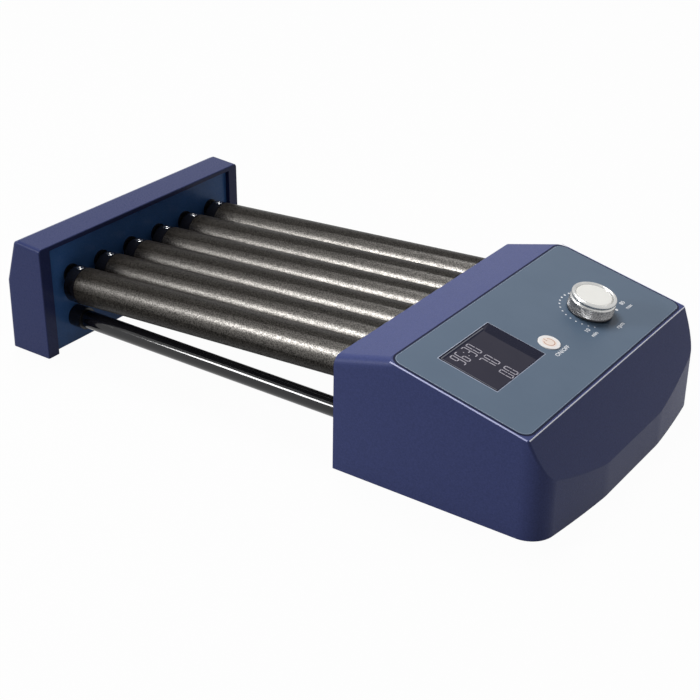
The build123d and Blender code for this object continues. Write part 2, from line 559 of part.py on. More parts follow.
# Rollers: sleeve, two end caps with journals off their own axis, and the gear on the head's side
CAP_SCREW_TOP = ROLLER_RADIUS - CAP_SCREW_SINK
CAP_SCREW_BOTTOM = CAP_SCREW_TOP - CAP_SCREW_LENGTH
CAP_ENDS = [
    (1, ROLLER_SPAN[1], DRIVEN_CAP_LENGTH, JOURNAL_HEAD_END_X),
    (-1, ROLLER_SPAN[0], IDLER_CAP_LENGTH, INNER_PLATE_BACK_X - JOURNAL_COVER_STUB),
]
for i, y in enumerate(ROLLER_Y):
    sleeve_from = ROLLER_SPAN[0] + IDLER_CAP_LENGTH + CAP_JOINT_GAP
    sleeve_to = ROLLER_SPAN[1] - DRIVEN_CAP_LENGTH - CAP_JOINT_GAP
    with BuildPart() as roller_sleeve:
        with BuildSketch(roller_plane(y, sleeve_from)):
            Circle(ROLLER_RADIUS)
            Circle(SLEEVE_BORE_RADIUS, mode=Mode.SUBTRACT)
        extrude(amount=sleeve_to - sleeve_from)
    roller_sleeve.part.label = f"roller_sleeve_{i + 1}"
    export_step(roller_sleeve.part, f"parts/roller_sleeve_{i + 1}.step")

    with BuildPart() as roller_caps:
        for side, cap_end, cap_length, journal_end in CAP_ENDS:
            cap_inside = cap_end - side * cap_length
            with BuildSketch(roller_plane(y, cap_inside - side * SPIGOT_LENGTH)):
                Circle(SLEEVE_BORE_RADIUS - RUNNING_FIT)
            extrude(amount=side * SPIGOT_LENGTH)
            with BuildSketch(roller_plane(y, cap_inside)):
                Circle(ROLLER_RADIUS - RUNNING_FIT)
            extrude(amount=side * cap_length)
            end_face = roller_caps.faces().filter_by(GeomType.PLANE).sort_by(Axis.X)[-1 if side > 0 else 0]
            chamfer(end_face.edges(), length=CAP_CHAMFER)
            journal_from = ROLLER_CROSSING_X + cap_inside
            with BuildSketch(Plane.YZ.offset(journal_from)):
                with Locations((y, ROLLER_AXIS_Z)):
                    Circle(JOURNAL_RADIUS)
            extrude(amount=journal_end - journal_from)
        # Clamping screw of the idler end's cap, in a hole with a bevelled mouth.
        with BuildSketch(cap_screw_plane(y, CAP_SCREW_BOTTOM - SCREW_GAP)):
            Circle(CAP_SCREW_RADIUS + SCREW_GAP)
        extrude(amount=ROLLER_RADIUS - CAP_SCREW_BOTTOM + SCREW_GAP, mode=Mode.SUBTRACT)
        with BuildSketch(cap_screw_plane(y, ROLLER_RADIUS)):
            Circle(CAP_SCREW_RADIUS + CAP_SCREW_RIM)
        extrude(amount=-CAP_SCREW_RIM, taper=45, mode=Mode.SUBTRACT)
        with BuildSketch(cap_screw_plane(y, CAP_SCREW_BOTTOM)):
            Circle(CAP_SCREW_RADIUS)
        extrude(amount=CAP_SCREW_LENGTH)
        with BuildSketch(cap_screw_plane(y, CAP_SCREW_TOP)):
            RegularPolygon(SOCKET_RADIUS, 6)
        extrude(amount=-SOCKET_DEPTH, mode=Mode.SUBTRACT)
    roller_caps.part.label = f"roller_caps_{i + 1}"
    export_step(roller_caps.part, f"parts/roller_caps_{i + 1}.step")

    with BuildPart() as roller_gear:
        with BuildSketch(Plane.YZ.offset(GEAR_X)):
            with Locations((y, ROLLER_AXIS_Z)):
                Polygon(*gear_points(ROLLER_TEETH, roller_phases[i]), align=None)
        extrude(amount=GEAR_WIDTH)
        with BuildSketch(Plane.YZ.offset(GEAR_X + GEAR_WIDTH)):
            with Locations((y, ROLLER_AXIS_Z)):
                Circle(HUB_RADIUS)
        extrude(amount=HUB_LENGTH)
        with BuildSketch(Plane.YZ.offset(GEAR_X)):
            with Locations((y, ROLLER_AXIS_Z)):
                Circle(JOURNAL_RADIUS + PRESS_GAP)
        extrude(amount=GEAR_WIDTH + HUB_LENGTH, mode=Mode.SUBTRACT)
        # Hole of the clamping screw in the hub.
        with BuildSketch(Plane.XY.offset(ROLLER_AXIS_Z)):
            with Locations((GEAR_X + GEAR_WIDTH + HUB_LENGTH / 2, y)):
                Circle(HUB_SCREW_RADIUS)
        extrude(amount=HUB_RADIUS + 1, mode=Mode.SUBTRACT)
    roller_gear.part.label = f"roller_gear_{i + 1}"
    export_step(roller_gear.part, f"parts/roller_gear_{i + 1}.step")

# Transfer gears between neighbouring roller gears
for i, y in enumerate(TRANSFER_Y):
    with BuildPart() as transfer_gear:
        with BuildSketch(Plane.YZ.offset(GEAR_X)):
            with Locations((y, TRANSFER_Z)):
                Polygon(*gear_points(TRANSFER_TEETH, transfer_phases[i]), align=None)
        extrude(amount=GEAR_WIDTH)
        with BuildSketch(Plane.YZ.offset(GEAR_X)):
            with Locations((y, TRANSFER_Z)):
                Circle(TRANSFER_HUB_RADIUS)
        extrude(amount=-(GEAR_X - PLATE_X - PLATE_THICKNESS - TRANSFER_HUB_GAP))
        with BuildSketch(Plane.YZ.offset(PLATE_X + PLATE_THICKNESS)):
            with Locations((y, TRANSFER_Z)):
                Circle(PIN_RADIUS + RUNNING_FIT)
        extrude(amount=GEAR_X + GEAR_WIDTH - PLATE_X, mode=Mode.SUBTRACT)
    transfer_gear.part.label = f"transfer_gear_{i + 1}"
    export_step(transfer_gear.part, f"parts/transfer_gear_{i + 1}.step")

# Geared motor on its plate
with BuildPart() as drive_pinion:
    with BuildSketch(Plane.YZ.offset(GEAR_X)):
        with Locations((0, PINION_Z)):
            Polygon(*gear_points(PINION_TEETH, pinion_phase), align=None)
            Circle(MOTOR_SHAFT_RADIUS + PRESS_GAP, mode=Mode.SUBTRACT)
    extrude(amount=GEAR_WIDTH)
    with BuildSketch(Plane.YZ.offset(GEAR_X + GEAR_WIDTH)):
        with Locations((0, PINION_Z)):
            Circle(TRANSFER_HUB_RADIUS)
            Circle(MOTOR_SHAFT_RADIUS + PRESS_GAP, mode=Mode.SUBTRACT)
    extrude(amount=HUB_LENGTH)
drive_pinion.part.label = "drive_pinion"
export_step(drive_pinion.part, "parts/drive_pinion.step")

with BuildPart() as motor_shaft:
    with BuildSketch(Plane.YZ.offset(GEAR_X - 1)):
        with Locations((0, PINION_Z)):
            Circle(MOTOR_SHAFT_RADIUS)
    extrude(amount=MOTOR_FACE_X + MOTOR_SHAFT_DEPTH - GEAR_X)
motor_shaft.part.label = "motor_shaft"
export_step(motor_shaft.part, "parts/motor_shaft.step")

with BuildPart() as motor_plate:
    with BuildSketch(Plane.YZ.offset(MOTOR_PLATE_X)):
        with Locations((0, sum(MOTOR_PLATE_Z) / 2)):
            RectangleRounded(*MOTOR_PLATE_SIZE, MOTOR_PLATE_CORNER)
        with Locations((0, PINION_Z)):
            Circle(GEARBOX_NOSE_RADIUS + SHAFT_CLEARANCE, mode=Mode.SUBTRACT)
        with Locations(*STANDOFF_PLACES, *MOTOR_SCREW_PLACES):
            Circle(MOTOR_SCREW_RADIUS + SCREW_GAP, mode=Mode.SUBTRACT)
    extrude(amount=MOTOR_PLATE_THICKNESS)
motor_plate.part.label = "motor_plate"
export_step(motor_plate.part, "parts/motor_plate.step")

with BuildPart() as motor_standoffs:
    for y, z in STANDOFF_PLACES:
        with BuildSketch(Plane.YZ.offset(PLATE_X + PLATE_THICKNESS)):
            with Locations((y, z)):
                RegularPolygon(STANDOFF_RADIUS, 6)
        extrude(amount=MOTOR_PLATE_X - PLATE_X - PLATE_THICKNESS)
        with BuildSketch(Plane.YZ.offset(PLATE_X)):
            with Locations((y, z)):
                Circle(STANDOFF_SPIGOT_RADIUS)
        extrude(amount=PLATE_THICKNESS)
        with BuildSketch(Plane.YZ.offset(MOTOR_PLATE_X)):
            with Locations((y, z)):
                Circle(MOTOR_SCREW_RADIUS + SCREW_GAP)
        extrude(amount=-STANDOFF_THREAD_DEPTH, mode=Mode.SUBTRACT)
motor_standoffs.part.label = "motor_standoffs"
export_step(motor_standoffs.part, "parts/motor_standoffs.step")

with BuildPart() as motor_screws:
    for places, face_x, side in ((STANDOFF_PLACES, MOTOR_FACE_X, 1), (MOTOR_SCREW_PLACES, MOTOR_PLATE_X, -1)):
        for y, z in places:
            with BuildSketch(Plane.YZ.offset(face_x)):
                with Locations((y, z)):
                    Circle(MOTOR_SCREW_HEAD[0])
            extrude(amount=side * MOTOR_SCREW_HEAD[1])
            with BuildSketch(Plane.YZ.offset(face_x)):
                with Locations((y, z)):
                    Circle(MOTOR_SCREW_RADIUS)
            extrude(amount=-side * STANDOFF_THREAD_DEPTH)
motor_screws.part.label = "motor_screws"
export_step(motor_screws.part, "parts/motor_screws.step")

with BuildPart() as gearbox:
    with BuildSketch(Plane.YZ.offset(MOTOR_FACE_X)):
        with Locations((0, PINION_Z)):
            Circle(GEARBOX_RADIUS)
    extrude(amount=GEARBOX_LENGTH)
    with BuildSketch(Plane.YZ.offset(MOTOR_PLATE_X)):
        with Locations((0, PINION_Z)):
            Circle(GEARBOX_NOSE_RADIUS)
    extrude(amount=MOTOR_PLATE_THICKNESS)
    with BuildSketch(Plane.YZ.offset(MOTOR_PLATE_X)):
        with Locations((0, PINION_Z)):
            Circle(MOTOR_SHAFT_RADIUS + RUNNING_FIT)
    extrude(amount=MOTOR_PLATE_THICKNESS + MOTOR_SHAFT_DEPTH, mode=Mode.SUBTRACT)
    with BuildSketch(Plane.YZ.offset(MOTOR_FACE_X)):
        with Locations(*MOTOR_SCREW_PLACES):
            Circle(MOTOR_SCREW_RADIUS + SCREW_GAP)
    extrude(amount=MOTOR_SCREW_DEPTH, mode=Mode.SUBTRACT)
gearbox.part.label = "gearbox"
export_step(gearbox.part, "parts/gearbox.step")

with BuildPart() as motor:
    with BuildSketch(Plane.YZ.offset(MOTOR_FACE_X + GEARBOX_LENGTH)):
        with Locations((0, PINION_Z)):
            Circle(MOTOR_RADIUS)
    extrude(amount=MOTOR_LENGTH)
    chamfer(motor.faces().sort_by(Axis.X)[-1].edges(), length=MOTOR_CHAMFER)
    # Rear bearing and two solder lugs.
    with BuildSketch(Plane.YZ.offset(MOTOR_FACE_X + GEARBOX_LENGTH + MOTOR_LENGTH)):
        with Locations((0, PINION_Z)):
            Circle(MOTOR_TAIL_RADIUS)
        with Locations((-MOTOR_LUG_Y, PINION_Z), (MOTOR_LUG_Y, PINION_Z)):
            Rectangle(*MOTOR_LUG_SIZE)
    extrude(amount=MOTOR_TAIL_LENGTH)
motor.part.label = "motor"
export_step(motor.part, "parts/motor.step")

# Panel: overlay, display, board, button, encoder and knob
with BuildPart() as panel_overlay:
    with BuildSketch(panel_plane(-OVERLAY_SEAT)):
        with Locations(OVERLAY_MIDDLE):
            RectangleRounded(*OVERLAY_SIZE, OVERLAY_CORNER)
        with Locations(DISPLAY_MIDDLE):
            Rectangle(DISPLAY_SIZE[0] + WINDOW_GAP, DISPLAY_SIZE[1] + WINDOW_GAP, mode=Mode.SUBTRACT)
        with Locations(BUTTON_CENTRE):
            Circle(BUTTON_RADIUS + BUTTON_GAP, mode=Mode.SUBTRACT)
        with Locations(KNOB_CENTRE):
            Circle(ENCODER_BUSHING_RADIUS + SHAFT_CLEARANCE, mode=Mode.SUBTRACT)
    extrude(amount=OVERLAY_THICKNESS)
panel_overlay.part.label = "panel_overlay"
export_step(panel_overlay.part, "parts/panel_overlay.step")

with BuildPart() as display_window:
    with BuildSketch(panel_plane(WINDOW_SEAT)):
        with Locations(DISPLAY_MIDDLE):
            Rectangle(*DISPLAY_SIZE)
    extrude(amount=WINDOW_THICKNESS)
display_window.part.label = "display_window"
export_step(display_window.part, "parts/display_window.step")

BOARD_TOP = BOARD_LIFT + BOARD_THICKNESS
LCD_TOP = WINDOW_SEAT - DISPLAY_MODULE_GAP
with BuildPart() as display_module:
    with BuildSketch(panel_plane(BOARD_TOP)):
        with Locations(DISPLAY_MIDDLE):
            Rectangle(*(side - 2 * DISPLAY_MODULE_MARGIN for side in DISPLAY_OPENING))
    extrude(amount=LCD_TOP - BOARD_TOP)
display_module.part.label = "display_module"
export_step(display_module.part, "parts/display_module.step")

with BuildPart() as control_board:
    with BuildSketch(panel_plane(BOARD_LIFT)):
        with Locations(BOARD_MIDDLE):
            RectangleRounded(*BOARD_SIZE, BOARD_CORNER)
        with Locations(*[(y, -s) for y, s in BOARD_HOLES]):
            Circle(BOARD_PEG_RADIUS + BOARD_PEG_GAP, mode=Mode.SUBTRACT)
    extrude(amount=BOARD_THICKNESS)
    # Components on its underside.
    with BuildSketch(panel_plane(BOARD_LIFT)):
        for x, y, length, width in BOARD_CHIPS:
            with Locations((x, y)):
                Rectangle(length, width)
    extrude(amount=-BOARD_CHIP_HEIGHT)
    with BuildSketch(panel_plane(BOARD_LIFT)):
        with Locations(BOARD_SOCKET[:2]):
            Rectangle(*BOARD_SOCKET[2:])
        with Locations(BOARD_CAPACITOR[:2]):
            Circle(BOARD_CAPACITOR[2])
    extrude(amount=-BOARD_TALL_HEIGHT)
control_board.part.label = "control_board"
export_step(control_board.part, "parts/control_board.step")

with BuildPart() as board_standoffs:
    for y, s in BOARD_HOLES:
        with BuildSketch(panel_plane(-WALL)):
            with Locations((y, -s)):
                Circle(BOARD_STANDOFF_RADIUS)
        extrude(amount=BOARD_TOP + WALL)
        with BuildSketch(panel_plane(BOARD_TOP)):
            with Locations((y, -s)):
                Circle(BOARD_PEG_RADIUS)
        extrude(amount=-BOARD_THICKNESS - BOARD_PEG_TIP)
board_standoffs.part.label = "board_standoffs"
export_step(board_standoffs.part, "parts/board_standoffs.step")

BUTTON_BOTTOM = -WALL - BUTTON_FLANGE_GAP - BUTTON_FLANGE_THICKNESS / 2
with BuildPart() as power_button:
    with BuildSketch(panel_plane(BUTTON_BOTTOM)):
        with Locations(BUTTON_CENTRE):
            Circle(BUTTON_RADIUS)
    extrude(amount=BUTTON_PROUD - BUTTON_BOTTOM)
    chamfer(power_button.faces().sort_by(Axis.Z)[-1].edges(), length=BUTTON_CHAMFER)
    # Retaining flange under the panel and the stem that reaches for the switch.
    with BuildSketch(panel_plane(-WALL - BUTTON_FLANGE_GAP)):
        with Locations(BUTTON_CENTRE):
            Circle(BUTTON_FLANGE_RADIUS)
    extrude(amount=-BUTTON_FLANGE_THICKNESS)
    with BuildSketch(panel_plane(-WALL)):
        with Locations(BUTTON_CENTRE):
            Circle(BUTTON_STEM_RADIUS)
    extrude(amount=BUTTON_STEM_END + WALL)
power_button.part.label = "power_button"
export_step(power_button.part, "parts/power_button.step")

with BuildPart() as button_switch:
    with BuildSketch(panel_plane(BOARD_TOP)):
        with Locations(BUTTON_CENTRE):
            Rectangle(SWITCH_SIZE, SWITCH_SIZE)
    extrude(amount=SWITCH_HEIGHT)
    with BuildSketch(panel_plane(BOARD_TOP)):
        with Locations(BUTTON_CENTRE):
            Circle(SWITCH_PLUNGER[0])
    extrude(amount=SWITCH_PLUNGER[1])
button_switch.part.label = "button_switch"
export_step(button_switch.part, "parts/button_switch.step")

ENCODER_TOP = -WALL - ENCODER_GAP
with BuildPart() as encoder_body:
    with BuildSketch(panel_plane(BOARD_TOP)):
        with Locations(KNOB_CENTRE):
            Rectangle(ENCODER_SIZE, ENCODER_SIZE)
    extrude(amount=ENCODER_TOP - BOARD_TOP)
    with BuildSketch(panel_plane(ENCODER_TOP)):
        with Locations(KNOB_CENTRE):
            Circle(ENCODER_BUSHING_RADIUS)
    extrude(amount=ENCODER_BUSHING_TOP - ENCODER_TOP)
    with BuildSketch(panel_plane(ENCODER_SHAFT_SPAN[0] - RUNNING_FIT)):
        with Locations(KNOB_CENTRE):
            Circle(ENCODER_SHAFT_RADIUS + RUNNING_FIT)
    extrude(amount=ENCODER_BUSHING_TOP - ENCODER_SHAFT_SPAN[0] + RUNNING_FIT, mode=Mode.SUBTRACT)
encoder_body.part.label = "encoder_body"
export_step(encoder_body.part, "parts/encoder_body.step")

with BuildPart() as encoder_nut:
    with BuildSketch(panel_plane(OVERLAY_TOP)):
        with Locations(KNOB_CENTRE):
            RegularPolygon(ENCODER_NUT[0], 6)
            Circle(ENCODER_BUSHING_RADIUS + SCREW_GAP, mode=Mode.SUBTRACT)
    extrude(amount=ENCODER_NUT[1])
encoder_nut.part.label = "encoder_nut"
export_step(encoder_nut.part, "parts/encoder_nut.step")

with BuildPart() as encoder_shaft:
    with BuildSketch(panel_plane(ENCODER_SHAFT_SPAN[0])):
        with Locations(KNOB_CENTRE):
            Circle(ENCODER_SHAFT_RADIUS)
    extrude(amount=ENCODER_SHAFT_SPAN[1] - ENCODER_SHAFT_SPAN[0])
encoder_shaft.part.label = "encoder_shaft"
export_step(encoder_shaft.part, "parts/encoder_shaft.step")

knob_axis_foot = panel_point(*KNOB_AT)
knurl_points = []
for k in range(2 * KNURL_COUNT):
    radius = KNURL_RADII[k % 2]
    knurl_points.append((radius * cos(pi * k / KNURL_COUNT), radius * sin(pi * k / KNURL_COUNT)))
with BuildPart() as knob_body:
    with BuildSketch(Plane(origin=knob_axis_foot, x_dir=(0, 1, 0), z_dir=PANEL_DOWN)):
        Polygon(*KNOB_PROFILE, align=None)
    revolve(axis=Axis(knob_axis_foot, PANEL_NORMAL))
    with BuildSketch(panel_plane(KNURL_SPAN[0])):
        with Locations(KNOB_CENTRE):
            Polygon(*knurl_points, align=None)
            Circle(KNURL_CORE_RADIUS, mode=Mode.SUBTRACT)
    extrude(amount=KNURL_SPAN[1] - KNURL_SPAN[0])
    with BuildSketch(panel_plane(KNOB_FOOT_LIFT)):
        with Locations(KNOB_CENTRE):
            Circle(ENCODER_SHAFT_RADIUS + PRESS_GAP)
    extrude(amount=ENCODER_SHAFT_SPAN[1] + SHAFT_END_GAP - KNOB_FOOT_LIFT, mode=Mode.SUBTRACT)
knob_body.part.label = "knob_body"
export_step(knob_body.part, "parts/knob_body.step")

with BuildPart() as knob_cap:
    with BuildSketch(panel_plane(KNOB_CAP_LIFT)):
        with Locations(KNOB_CENTRE):
            Circle(KNOB_CAP_RADIUS)
    extrude(amount=KNOB_CAP_THICKNESS)
    chamfer(knob_cap.faces().sort_by(Axis.Z)[-1].edges(), length=KNOB_CAP_CHAMFER)
knob_cap.part.label = "knob_cap"
export_step(knob_cap.part, "parts/knob_cap.step")

# Supply inlet
with BuildPart() as power_inlet:
    with BuildSketch(Plane.XZ.offset(-HALF_WIDTH + INLET_PROUD)):
        with Locations(INLET_AT):
            Circle(INLET_RADIUS)
    extrude(amount=INLET_DEPTH)
    with BuildSketch(Plane.XZ.offset(-HALF_WIDTH + INLET_PROUD)):
        with Locations(INLET_AT):
            Circle(INLET_SOCKET[0])
            Circle(INLET_PIN_RADIUS, mode=Mode.SUBTRACT)
    extrude(amount=INLET_SOCKET[1], mode=Mode.SUBTRACT)
power_inlet.part.label = "power_inlet"
export_step(power_inlet.part, "parts/power_inlet.step")

with BuildPart() as inlet_nut:
    with BuildSketch(Plane.XZ.offset(-HALF_WIDTH + WALL)):
        with Locations(INLET_AT):
            RegularPolygon(INLET_NUT[0], 6)
            Circle(INLET_RADIUS + SCREW_GAP, mode=Mode.SUBTRACT)
    extrude(amount=INLET_NUT[1])
inlet_nut.part.label = "inlet_nut"
export_step(inlet_nut.part, "parts/inlet_nut.step")

# Support rods with their collars and nuts; the collars on the head touch the leaning back wall at their foot
HEAD_COLLAR_X = HEAD_BACK_X - HEAD_BACK_DRAFT * (1 - (ROD_Z - ROD_COLLAR_RADIUS - BOTTOM) / HEAD_BACK_HEIGHT)
ROD_STUBS_FROM = INNER_PLATE_BACK_X - ROD_NUT_LENGTH - ROD_END_BEYOND
ROD_STUBS_TO = PLATE_X + PLATE_THICKNESS + ROD_NUT_LENGTH + ROD_END_BEYOND
with BuildPart() as support_rods:
    for y in (-ROD_Y, ROD_Y):
        with BuildSketch(Plane.YZ.offset(INNER_PLATE_BACK_X)):
            with Locations((y, ROD_Z)):
                Circle(ROD_RADIUS)
        extrude(amount=PLATE_X - INNER_PLATE_BACK_X)
        with BuildSketch(Plane.YZ.offset(ROD_STUBS_FROM)):
            with Locations((y, ROD_Z)):
                Circle(ROD_STUB_RADIUS)
        extrude(amount=ROD_STUBS_TO - ROD_STUBS_FROM)
support_rods.part.label = "support_rods"
export_step(support_rods.part, "parts/support_rods.step")

ROD_COLLARS = [(INNER_PLATE_X, ROD_COLLAR_LENGTHS[0]), (HEAD_COLLAR_X, -ROD_COLLAR_LENGTHS[1])]
with BuildPart() as rod_collars:
    for y in (-ROD_Y, ROD_Y):
        for face_x, length in ROD_COLLARS:
            with BuildSketch(Plane.YZ.offset(face_x)):
                with Locations((y, ROD_Z)):
                    Circle(ROD_COLLAR_RADIUS)
                    Circle(ROD_RADIUS + SCREW_GAP, mode=Mode.SUBTRACT)
            extrude(amount=length)
rod_collars.part.label = "rod_collars"
export_step(rod_collars.part, "parts/rod_collars.step")

with BuildPart() as rod_nuts:
    for y in (-ROD_Y, ROD_Y):
        for face_x, side in ((INNER_PLATE_BACK_X, -1), (PLATE_X + PLATE_THICKNESS, 1)):
            with BuildSketch(Plane.YZ.offset(face_x)):
                with Locations((y, ROD_Z)):
                    Circle(ROD_WASHER[0])
            extrude(amount=side * ROD_WASHER[1])
            with BuildSketch(Plane.YZ.offset(face_x + side * ROD_WASHER[1])):
                with Locations((y, ROD_Z)):
                    RegularPolygon(ROD_NUT_FLATS / 2, 6, major_radius=False)
            extrude(amount=side * (ROD_NUT_LENGTH - ROD_WASHER[1]))
            with BuildSketch(Plane.YZ.offset(face_x)):
                with Locations((y, ROD_Z)):
                    Circle(ROD_STUB_RADIUS + SCREW_GAP)
            extrude(amount=side * ROD_NUT_LENGTH, mode=Mode.SUBTRACT)
rod_nuts.part.label = "rod_nuts"
export_step(rod_nuts.part, "parts/rod_nuts.step")

# End cover: its side profile runs along the whole width
COVER_PROFILE = [
    (COVER_RIM_X, BOTTOM),
    (COVER_RIM_X, BOTTOM + COVER_TOP_HEIGHT),
    (COVER_SHOULDER[0], BOTTOM + COVER_SHOULDER[1]),
    (COVER_OUTER_TOP[0], BOTTOM + COVER_OUTER_TOP[1]),
    (COVER_RIDGE[0], BOTTOM + COVER_RIDGE[1]),
    (COVER_FOOT_X, BOTTOM),
]
COVER_OPENING_HALF = HALF_WIDTH - COVER_RIM_SIDE
COVER_OPENING_TOP = BOTTOM + COVER_TOP_HEIGHT - COVER_RIM_TOP
COVER_STEP_X = INNER_PLATE_BACK_X - COVER_STEP_GAP
COVER_CUT_HEIGHT = COVER_OPENING_TOP - BOTTOM + 1
with BuildPart() as cover_shell:
    with BuildSketch(Plane.XZ):
        Polygon(*COVER_PROFILE, align=None)
    extrude(amount=HALF_WIDTH, both=True)
    shoulders = cover_shell.edges().filter_by(Axis.Y).group_by(Axis.X)[2:4]
    fillet(shoulders[0] + shoulders[1], radius=COVER_SHOULDER_FILLET)
    sides = cover_shell.faces().filter_by(Axis.Y).edges()
    outer_edges = sides.filter_by(lambda e: e.center().Z > BOTTOM + 1 and e.center().X < COVER_RIM_X - 1)
    fillet(outer_edges, radius=COVER_SIDE_FILLET)
    rim = cover_shell.faces().sort_by(Axis.X)[-1].edges().filter_by(lambda e: e.center().Z > BOTTOM + 1)
    fillet(rim, radius=COVER_RIM_FILLET)
    # Hollow behind the inner plate, then the opening that the plate sets into.
    with BuildSketch(Plane.XZ):
        Polygon(*COVER_PROFILE, align=None)
        offset(amount=-WALL, kind=Kind.INTERSECTION)
        with Locations((COVER_STEP_X, BOTTOM - 1)):
            Rectangle(WIDTH, WIDTH, align=(Align.MIN, Align.MIN), mode=Mode.SUBTRACT)
        with Locations((COVER_STEP_X, BOTTOM - 1)):
            Rectangle(COVER_STEP_X - COVER_FOOT_X - WALL, 2 * WALL, align=(Align.MAX, Align.MIN))
    extrude(amount=HALF_WIDTH - WALL, both=True, mode=Mode.SUBTRACT)
    with BuildSketch(Plane.XZ):
        with Locations((COVER_STEP_X - 1, BOTTOM - 1)):
            Rectangle(WIDTH, COVER_CUT_HEIGHT, align=(Align.MIN, Align.MIN))
    extrude(amount=COVER_OPENING_HALF, both=True, mode=Mode.SUBTRACT)
    # Bosses for the screws that hold the inner plate, each with a web to the side wall.
    with BuildSketch(Plane.XY.offset(BOTTOM + INNER_PLATE_LIFT + INNER_PLATE_THICKNESS)):
        with Locations(*COVER_SCREWS):
            Circle(BOSS_RADIUS)
        for x, y in COVER_SCREWS:
            with Locations((x, y + (BOSS_WEB[1] / 2 if y > 0 else -BOSS_WEB[1] / 2))):
                Rectangle(*BOSS_WEB)
    extrude(amount=BOSS_TOP - BOTTOM - INNER_PLATE_LIFT)
    with BuildSketch(Plane.XY.offset(BOTTOM)):
        with Locations(*COVER_SCREWS):
            Circle(SCREW_RADIUS + SCREW_GAP)
    extrude(amount=BOSS_HOLE_DEPTH, mode=Mode.SUBTRACT)
cover_shell.part.label = "cover_shell"
export_step(cover_shell.part, "parts/cover_shell.step")

INNER_PLATE_HALF = COVER_OPENING_HALF - INNER_PLATE_GAP
INNER_PLATE_BOTTOM = BOTTOM + INNER_PLATE_LIFT
with BuildPart() as cover_inner_plate:
    with BuildSketch(Plane.YZ.offset(INNER_PLATE_BACK_X)):
        with Locations((0, INNER_PLATE_BOTTOM)):
            Rectangle(
                2 * INNER_PLATE_HALF,
                COVER_OPENING_TOP - INNER_PLATE_GAP - INNER_PLATE_BOTTOM,
                align=(Align.CENTER, Align.MIN),
            )
    extrude(amount=INNER_PLATE_THICKNESS)
    # Floor flange, bent towards the outer wall.
    with BuildSketch(Plane.XY.offset(INNER_PLATE_BOTTOM)):
        with Locations((INNER_PLATE_X, 0)):
            Rectangle(INNER_PLATE_FLANGE, 2 * INNER_PLATE_HALF, align=(Align.MAX, Align.CENTER))
        with Locations(*COVER_SCREWS):
            Circle(SCREW_RADIUS + SCREW_GAP, mode=Mode.SUBTRACT)
    extrude(amount=INNER_PLATE_THICKNESS)
    with BuildSketch(Plane.YZ.offset(INNER_PLATE_BACK_X)):
        with Locations(*[(y, ROLLER_AXIS_Z) for y in ROLLER_Y]):
            Circle(BUSH_RADIUS)
        with Locations((-ROD_Y, ROD_Z), (ROD_Y, ROD_Z)):
            Circle(ROD_RADIUS + SCREW_GAP)
    extrude(amount=INNER_PLATE_THICKNESS, mode=Mode.SUBTRACT)
cover_inner_plate.part.label = "cover_inner_plate"
export_step(cover_inner_plate.part, "parts/cover_inner_plate.step")

with BuildPart() as cover_bushes:
    for y in ROLLER_Y:
        with BuildSketch(Plane.YZ.offset(INNER_PLATE_BACK_X)):
            with Locations((y, ROLLER_AXIS_Z)):
                Circle(BUSH_RADIUS - PRESS_GAP)
        extrude(amount=INNER_PLATE_THICKNESS)
        with BuildSketch(Plane.YZ.offset(INNER_PLATE_X)):
            with Locations((y, ROLLER_AXIS_Z)):
                Circle(BUSH_FLANGE_RADIUS)
        extrude(amount=BUSH_FLANGE)
        with BuildSketch(Plane.YZ.offset(INNER_PLATE_BACK_X)):
            with Locations((y, ROLLER_AXIS_Z)):
                Circle(JOURNAL_RADIUS + RUNNING_FIT)
        extrude(amount=INNER_PLATE_THICKNESS + BUSH_FLANGE, mode=Mode.SUBTRACT)
cover_bushes.part.label = "cover_bushes"
export_step(cover_bushes.part, "parts/cover_bushes.step")

with BuildPart() as cover_feet:
    with BuildSketch():
        with Locations(*COVER_FEET):
            Circle(COVER_FOOT_RADIUS)
    extrude(amount=INNER_PLATE_BOTTOM, taper=FOOT_TAPER)
cover_feet.part.label = "cover_feet"
export_step(cover_feet.part, "parts/cover_feet.step")

with BuildPart() as base_screws:
    for places, face_z in ((HEAD_SCREWS, BASE_PLATE_BOTTOM), (COVER_SCREWS, INNER_PLATE_BOTTOM)):
        for x, y in places:
            with BuildSketch(Plane.XY.offset(face_z)):
                with Locations((x, y)):
                    Circle(SCREW_HEAD_RADIUS)
            extrude(amount=-SCREW_HEAD_HEIGHT)
            with BuildSketch(Plane.XY.offset(face_z)):
                with Locations((x, y)):
                    Circle(SCREW_RADIUS)
            extrude(amount=SCREW_LENGTH)
            with BuildSketch(Plane.XY.offset(face_z - SCREW_HEAD_HEIGHT)):
                with Locations((x, y)):
                    RegularPolygon(SOCKET_RADIUS, 6)
            extrude(amount=SOCKET_DEPTH, mode=Mode.SUBTRACT)
base_screws.part.label = "base_screws"
export_step(base_screws.part, "parts/base_screws.step")
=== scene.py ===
import bpy
import bmesh
import json
from math import atan, cos, hypot, pi, radians, sin
from mathutils import Matrix, Vector


